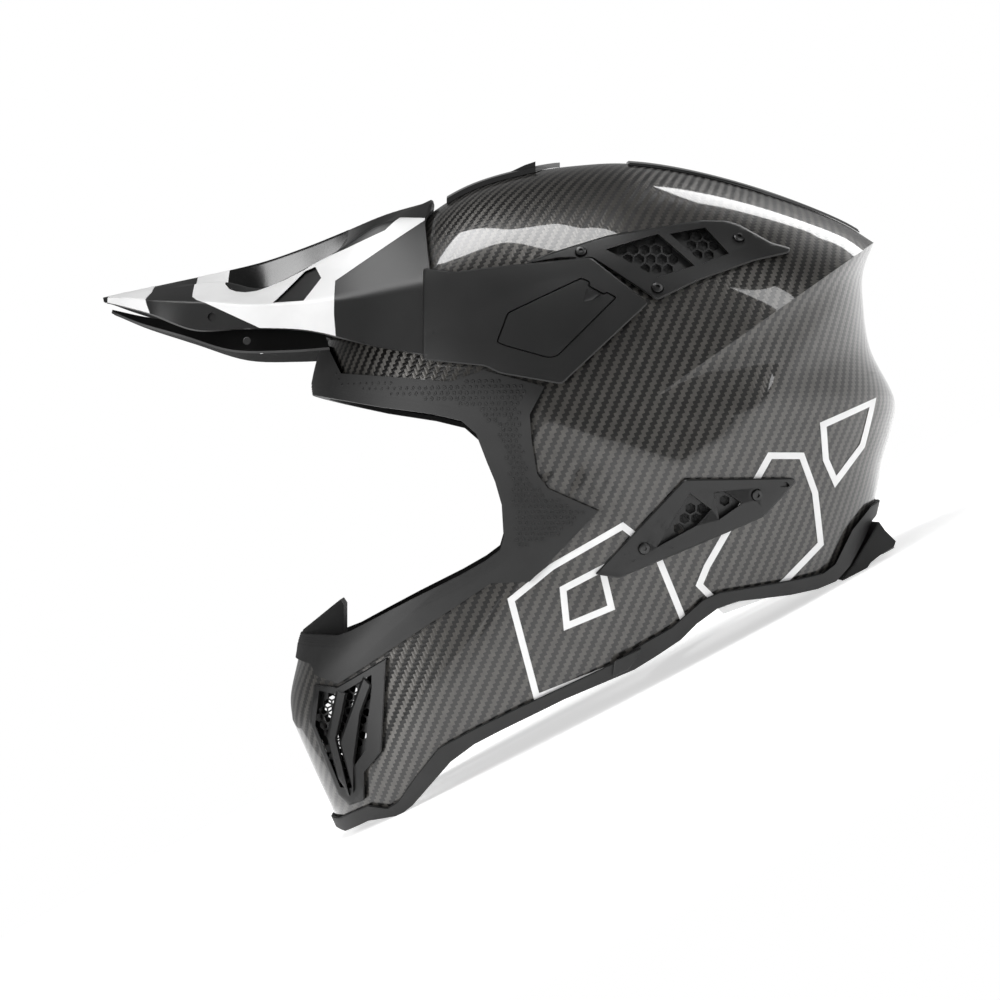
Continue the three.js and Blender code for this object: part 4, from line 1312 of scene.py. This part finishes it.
def peak_arm_mesh():
    """One wing of the peak, with the recess that its cover lies in."""
    rings = [(0.4, ARM_CLEARANCE), (0, ARM_CLEARANCE + 0.4), (0, ARM_TOP - 0.7), (0.7, ARM_TOP)]
    arm = flat_plate(rounded(ARM_OUTLINE, 2.0), rings)
    recess = [(0, ARM_FLOOR), (0, ARM_TOP - 0.3), (-0.5, ARM_TOP + 2)]
    arm = cut_away(arm, flat_plate(rounded(COVER_OUTLINE, 1.5), recess))
    return wrap(cut_away(arm, flat_plate(circle(*PIVOT, 4.5), [(0, 0), (0, ARM_TOP)])), 3.0)


def cover_mesh():
    """A pivot cover with its raised finger wedge."""
    base = COVER_UNDER + 0.5
    rings = [(0.3, COVER_UNDER), (0, COVER_UNDER + 0.3), (0, ARM_TOP - 0.6), (0.5, ARM_TOP - 0.1)]
    plate = flat_plate(rounded(grown(COVER_OUTLINE, -0.5), 1.4), rings)
    wedge = hull([
        (base, 46, 114), (base, 55, 110.5), (base, 44.5, 107), (base, 47, 105.5),
        (ARM_TOP + 1.4, 47.5, 113.4), (ARM_TOP + 1.4, 53.5, 110.8), (ARM_TOP + 0.1, 45.5, 107),
    ])
    return wrap(joined(plate, wedge), 2.5)


PIVOT_SCREW_PROFILE = [
    (0, -9.5), (4.0, -9.5), (4.0, 0), (6.8, 0), (6.8, 0.5), (6.2, 0.8), (3.0, 0.8), (2.8, 0.4), (0, 0.4),
]

show("peak_body", peak_mesh(), peak_black, "peak", ["peak_shell"])
white_field = cut_away(peak_field(WHITE_FIELD), side_prism(SLOT))
show("peak_field_white", white_field, peak_white, "peak")
show("peak_tip_white", peak_field(WHITE_TIP), peak_white, "peak")
show("peak_scoop_gloss", peak_field(SCOOP, GLOSS_HIGH), peak_gloss, "peak")
tray = cut_away(slab(TRAY_ROWS, -TRAY_WALL, 0), side_prism(circle(*TRAY_HOLE, 2.2, 20)))
show("peak_tray", tray, satin_black, "peak", ["peak_underplate"])
arm = peak_arm_mesh()
cover = cover_mesh()
pivot_screw = lathe(PIVOT_SCREW_PROFILE, 32)
pivot_screw.transform(surface_place(*PIVOT, ARM_FLOOR + 0.1))
for side_name, side in SIDES:
    show(f"peak_arm_{side_name}", sided(arm, side), peak_black, "peak")
    show(f"pivot_cap_{side_name}", sided(cover, side), peak_black, f"cover_{side_name}",
         [f"pivot_cover_{side_name}"])
    show(f"pivot_button_{side_name}", sided(pivot_screw, side), screw_steel, "helmet",
         [f"peak_screw_{side_name}"])

# ---------- neck plate and tab ----------

NECK_SECTION = [
    (190.6, -44.5), (197, -36.4), (204.8, -23.6), (211.6, -12.2), (215, -17), (221, -23), (220, -26),
    (212, -31), (207, -35), (203, -41), (199, -45), (194, -47),
]
NECK_HALF_WIDTH = 46
TAB_SECTION = [(213.4, -30.2), (220.6, -25.8), (224, -27), (217, -30.8)]
TAB_HALF_WIDTH = 12


def softened_prism(section, half_width, edge):
    """A section across the helmet with a small step for a softened edge at each end."""
    body = side_prism(grown(section, -edge), -half_width, half_width)
    return joined(body, side_prism(section, -half_width + edge, half_width - edge))


neck_guard = cut_away(softened_prism(NECK_SECTION, NECK_HALF_WIDTH, 0.7), table_slab())
neck_tab = softened_prism(TAB_SECTION, TAB_HALF_WIDTH, 0.4)
show("neck_guard", neck_guard, rubber, "helmet", ["neck_plate"])
show("neck_grey_tab", neck_tab, grey_plastic, "helmet", ["neck_tab"])

# ---------- chin strap, in its own level frame about the anchor ----------

ANCHOR = (42.0, -25.0)
STRAP_SPAN = 88.0
STRAP_DROP = 74.0
BAND_HALF = 0.9
BAND_EDGE = 0.5
STRAP_WIDTH = 22.0
BUCKLE_ANGLE = 132.0
RING_BAR = 2.6
RING_HALF_WIDTH = 15.0
RING_REACH = 17.0
RING_CORNER = 9.0
RING_SIDES = 10
RING_LIFT = 2.8
RING_X = -7.0
HANGING = Matrix.Translation((0, *ANCHOR)) @ Matrix.Rotation(STAND_TILT, 4, "X")


def hanging_band(start, end, steps=48):
    """Webbing along the hanging half-oval between two angles, with softened long edges."""
    rows = []
    half = STRAP_WIDTH / 2
    flat = half - BAND_EDGE
    section = [
        (BAND_HALF, -flat), (BAND_HALF, flat), (0, half), (-BAND_HALF, flat), (-BAND_HALF, -flat), (0, -half),
    ]
    bm = bmesh.new()
    for k in range(steps + 1):
        angle = math.radians(start + (end - start) * k / steps)
        row = []
        for offset, y in section:
            x = (STRAP_SPAN + offset) * math.cos(angle)
            z = -(STRAP_DROP + offset) * math.sin(angle)
            row.append(bm.verts.new((x, y, z)))
        rows.append(row)
    for lower, upper in zip(rows, rows[1:]):
        bridge(bm, lower, upper)
    bm.faces.new(rows[0])
    bm.faces.new(rows[-1][::-1])
    return finished(bm)


def disc(radius, low, high):
    """A round plate about the anchor's axis, between two places along it."""
    return side_prism(circle(0, 0, radius), low, high)


def place_at_buckle():
    """The place of the buckle on the half-oval, with x along the strap."""
    across = math.cos(math.radians(BUCKLE_ANGLE))
    down = math.sin(math.radians(BUCKLE_ANGLE))
    turn = math.atan2(STRAP_DROP * across, STRAP_SPAN * down)
    return Matrix.Translation((STRAP_SPAN * across, 0, -STRAP_DROP * down)) @ Matrix.Rotation(-turn, 4, "Y")


AT_BUCKLE = place_at_buckle()


def block(size_x, size_y, size_z, x, z):
    """A softened block at the buckle."""
    bm = bmesh.new()
    bmesh.ops.create_cube(bm, size=1.0)
    bmesh.ops.transform(bm, matrix=Matrix.Diagonal((size_x, size_y, size_z, 1)), verts=bm.verts)
    bmesh.ops.bevel(bm, geom=bm.edges[:], offset=min(size_x, size_z) * 0.12, segments=2, affect="EDGES")
    bmesh.ops.translate(bm, vec=(x, 0, z), verts=bm.verts)
    mesh = finished(bm)
    mesh.transform(AT_BUCKLE)
    return mesh


def d_ring_mesh(lift):
    """A round bar bent into a D and closed on itself."""
    half = RING_HALF_WIDTH - RING_BAR / 2
    reach = RING_REACH - RING_BAR
    corner = RING_CORNER - RING_BAR / 2
    path = [(0, -half)]
    for y, start in ((-half + corner, -math.pi / 2), (half - corner, 0)):
        turns = [start + math.pi / 2 * k / 8 for k in range(9)]
        path += [(reach - corner + corner * math.cos(t), y + corner * math.sin(t)) for t in turns]
    path += [(0, half)]
    p = np.array(rounded(path, 1.4, 3))
    heading = np.roll(p, -1, axis=0) - np.roll(p, 1, axis=0)
    heading /= np.linalg.norm(heading, axis=1)[:, None]
    bm = bmesh.new()
    rows = []
    for (x, y), (hx, hy) in zip(p, heading):
        row = []
        for k in range(RING_SIDES):
            turn = 2 * math.pi * k / RING_SIDES
            out = RING_BAR / 2 * math.cos(turn)
            up = RING_BAR / 2 * math.sin(turn)
            row.append(bm.verts.new((x + hy * out + RING_X, y - hx * out, lift + up)))
        rows.append(row)
    for lower, upper in zip(rows, [*rows[1:], rows[0]]):
        bridge(bm, lower, upper)
    mesh = finished(bm)
    mesh.transform(AT_BUCKLE)
    return mesh


def hang(mesh):
    """Moves a mesh from the strap's frame into the design frame."""
    mesh.transform(HANGING)
    return mesh


RIVET_RADIUS = 4.0
SLEEVE_SIZE = (9, STRAP_WIDTH, 12)
SLEEVE_SLOT = (4.2, 40, 4.2)


def strap_left_mesh():
    end = disc(STRAP_WIDTH / 2, STRAP_SPAN - BAND_HALF, STRAP_SPAN + BAND_HALF)
    body = joined(hanging_band(0, BUCKLE_ANGLE + 1), end)
    return cut_away(body, disc(RIVET_RADIUS + 0.4, 0, FAR))


def strap_right_mesh():
    """The short side, with the slotted sleeve that holds the two rings."""
    end = disc(STRAP_WIDTH / 2, -STRAP_SPAN - BAND_HALF, -STRAP_SPAN + BAND_HALF)
    body = joined(hanging_band(BUCKLE_ANGLE + 6, 180, 24), end)
    sleeve = block(*SLEEVE_SIZE, RING_X, 0)
    for lift in (RING_LIFT, -RING_LIFT):
        sleeve = cut_away(sleeve, block(*SLEEVE_SLOT, RING_X, lift))
    return cut_away(joined(body, sleeve), disc(RIVET_RADIUS + 0.4, -FAR, 0))


def rivet_mesh():
    """An inner head and a washer either side of the strap, on a pin that reaches the shell."""
    shell_inside = float(width_at(*ANCHOR, SHELL_WALL)) - 1.2
    near = STRAP_SPAN - BAND_HALF - GAP
    far = STRAP_SPAN + BAND_HALF + GAP
    profile = [
        (0, STRAP_SPAN - 5), (5.5, STRAP_SPAN - 5), (7, STRAP_SPAN - 4), (7, near - 0.8),
        (RIVET_RADIUS, near - 0.8), (RIVET_RADIUS, far), (8, far), (8, STRAP_SPAN + 4),
        (RIVET_RADIUS, STRAP_SPAN + 4), (RIVET_RADIUS, shell_inside), (0, shell_inside),
    ]
    mesh = lathe(profile, 32)
    mesh.transform(Matrix.Rotation(math.pi / 2, 4, "Y"))
    return mesh


show("strap_web_left", hang(strap_left_mesh()), webbing, "strap", ["strap_left"])
show("strap_web_right", hang(strap_right_mesh()), webbing, "strap", ["strap_right"])
for level, lift in (("upper", RING_LIFT), ("lower", -RING_LIFT)):
    show(f"ring_{level}_steel", hang(d_ring_mesh(lift)), ring_steel, f"ring_{level}",
         [f"d_ring_{level}"])
rivet = hang(rivet_mesh())
tab_outline = rounded([(-30, -135.6), (-16, -123.8), (-12, -130), (-26, -142)], 1.0)
tab = wrap(flat_plate(tab_outline, [(0, -21.5), (0, -20)]), 3.0)
for side_name, side in SIDES:
    show(f"strap_stud_{side_name}", sided(rivet, side), ring_steel, "helmet",
         [f"strap_rivet_{side_name}"])
    show(f"red_pull_{side_name}", sided(tab, side), red_web, "helmet",
         [f"pull_tab_{side_name}"])

# ---------- padded pieces ----------

VOXEL = 0.005
SWELL_FRAMES = 20
SWELL_PRESSURE = 4


def swollen(node, shrink, cap):
    """The node's CAD solid, remeshed, filled by a short cloth simulation and smoothed, in the row frame."""
    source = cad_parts[node]
    piece = bpy.data.objects.new("pad", source.data.copy())
    scene.collection.objects.link(piece)
    remesh = piece.modifiers.new("remesh", "REMESH")
    remesh.mode = "VOXEL"
    remesh.voxel_size = VOXEL
    settle(piece)
    places, normals = points_of(piece.data)
    start = places - normals * shrink
    piece.data.vertices.foreach_set("co", start.ravel())
    cloth = piece.modifiers.new("cloth", "CLOTH")
    cloth.settings.quality = 5
    cloth.settings.use_pressure = True
    cloth.settings.uniform_pressure_force = SWELL_PRESSURE
    cloth.settings.effector_weights.gravity = 0
    cloth.settings.mass = 0.3
    for number in range(1, SWELL_FRAMES + 1):
        scene.frame_set(number)
    settle(piece)
    scene.frame_set(1)
    swelled, _ = points_of(piece.data)
    moved = swelled - start
    length = np.maximum(1e-9, np.linalg.norm(moved, axis=1))
    capped = start + moved * np.minimum(1, cap / length)[:, None]
    piece.data.vertices.foreach_set("co", capped.ravel())
    smooth = piece.modifiers.new("smooth", "SMOOTH")
    smooth.iterations = 3
    rounder = piece.modifiers.new("rounder", "SUBSURF")
    rounder.levels = 1
    settle(piece)
    mesh = piece.data
    bpy.data.objects.remove(piece)
    return mesh


def settle(piece):
    """Applies every modifier."""
    graph = bpy.context.evaluated_depsgraph_get()
    mesh = bpy.data.meshes.new_from_object(piece.evaluated_get(graph))
    piece.modifiers.clear()
    piece.data = mesh


def points_of(mesh):
    """The mesh's vertices and their normals."""
    places = np.empty(len(mesh.vertices) * 3)
    normals = np.empty(len(mesh.vertices) * 3)
    mesh.vertices.foreach_get("co", places)
    mesh.vertices.foreach_get("normal", normals)
    return places.reshape(-1, 3), normals.reshape(-1, 3)


# each pad: its name, its CAD node, cloth, body, how far it starts inside the CAD solid, and the cap in metres
PADS = [
    ("brow_lining", "brow_pad", lining, "helmet", 0.0008, 0.0010),
    ("crown_lining", "crown_pad", lining, "helmet", 0.0008, 0.0010),
    ("nape_lining", "nape_pad", lining, "helmet", 0.0008, 0.0010),
    ("neck_bolster", "neck_roll", pad_cloth, "helmet", 0.002, 0.002),
    ("cheek_cushion_left", "cheek_pad_left", pad_cloth, "helmet", 0.003, 0.003),
    ("cheek_cushion_right", "cheek_pad_right", pad_cloth, "helmet", 0.003, 0.003),
    ("strap_cushion_left", "strap_pad_left", pad_cloth, "strap", 0.001, 0.001),
    ("strap_cushion_right", "strap_pad_right", pad_cloth, "strap", 0.001, 0.001),
]
PAD_SMOOTH_ANGLE = math.radians(60)
for piece_name, node, material, body, shrink, cap in PADS:
    pad = swollen(node, shrink, cap)
    pad.transform(DESIGN_TO_ROW.inverted())
    cushion = show(piece_name, pad, material, body, [node], PAD_SMOOTH_ANGLE)
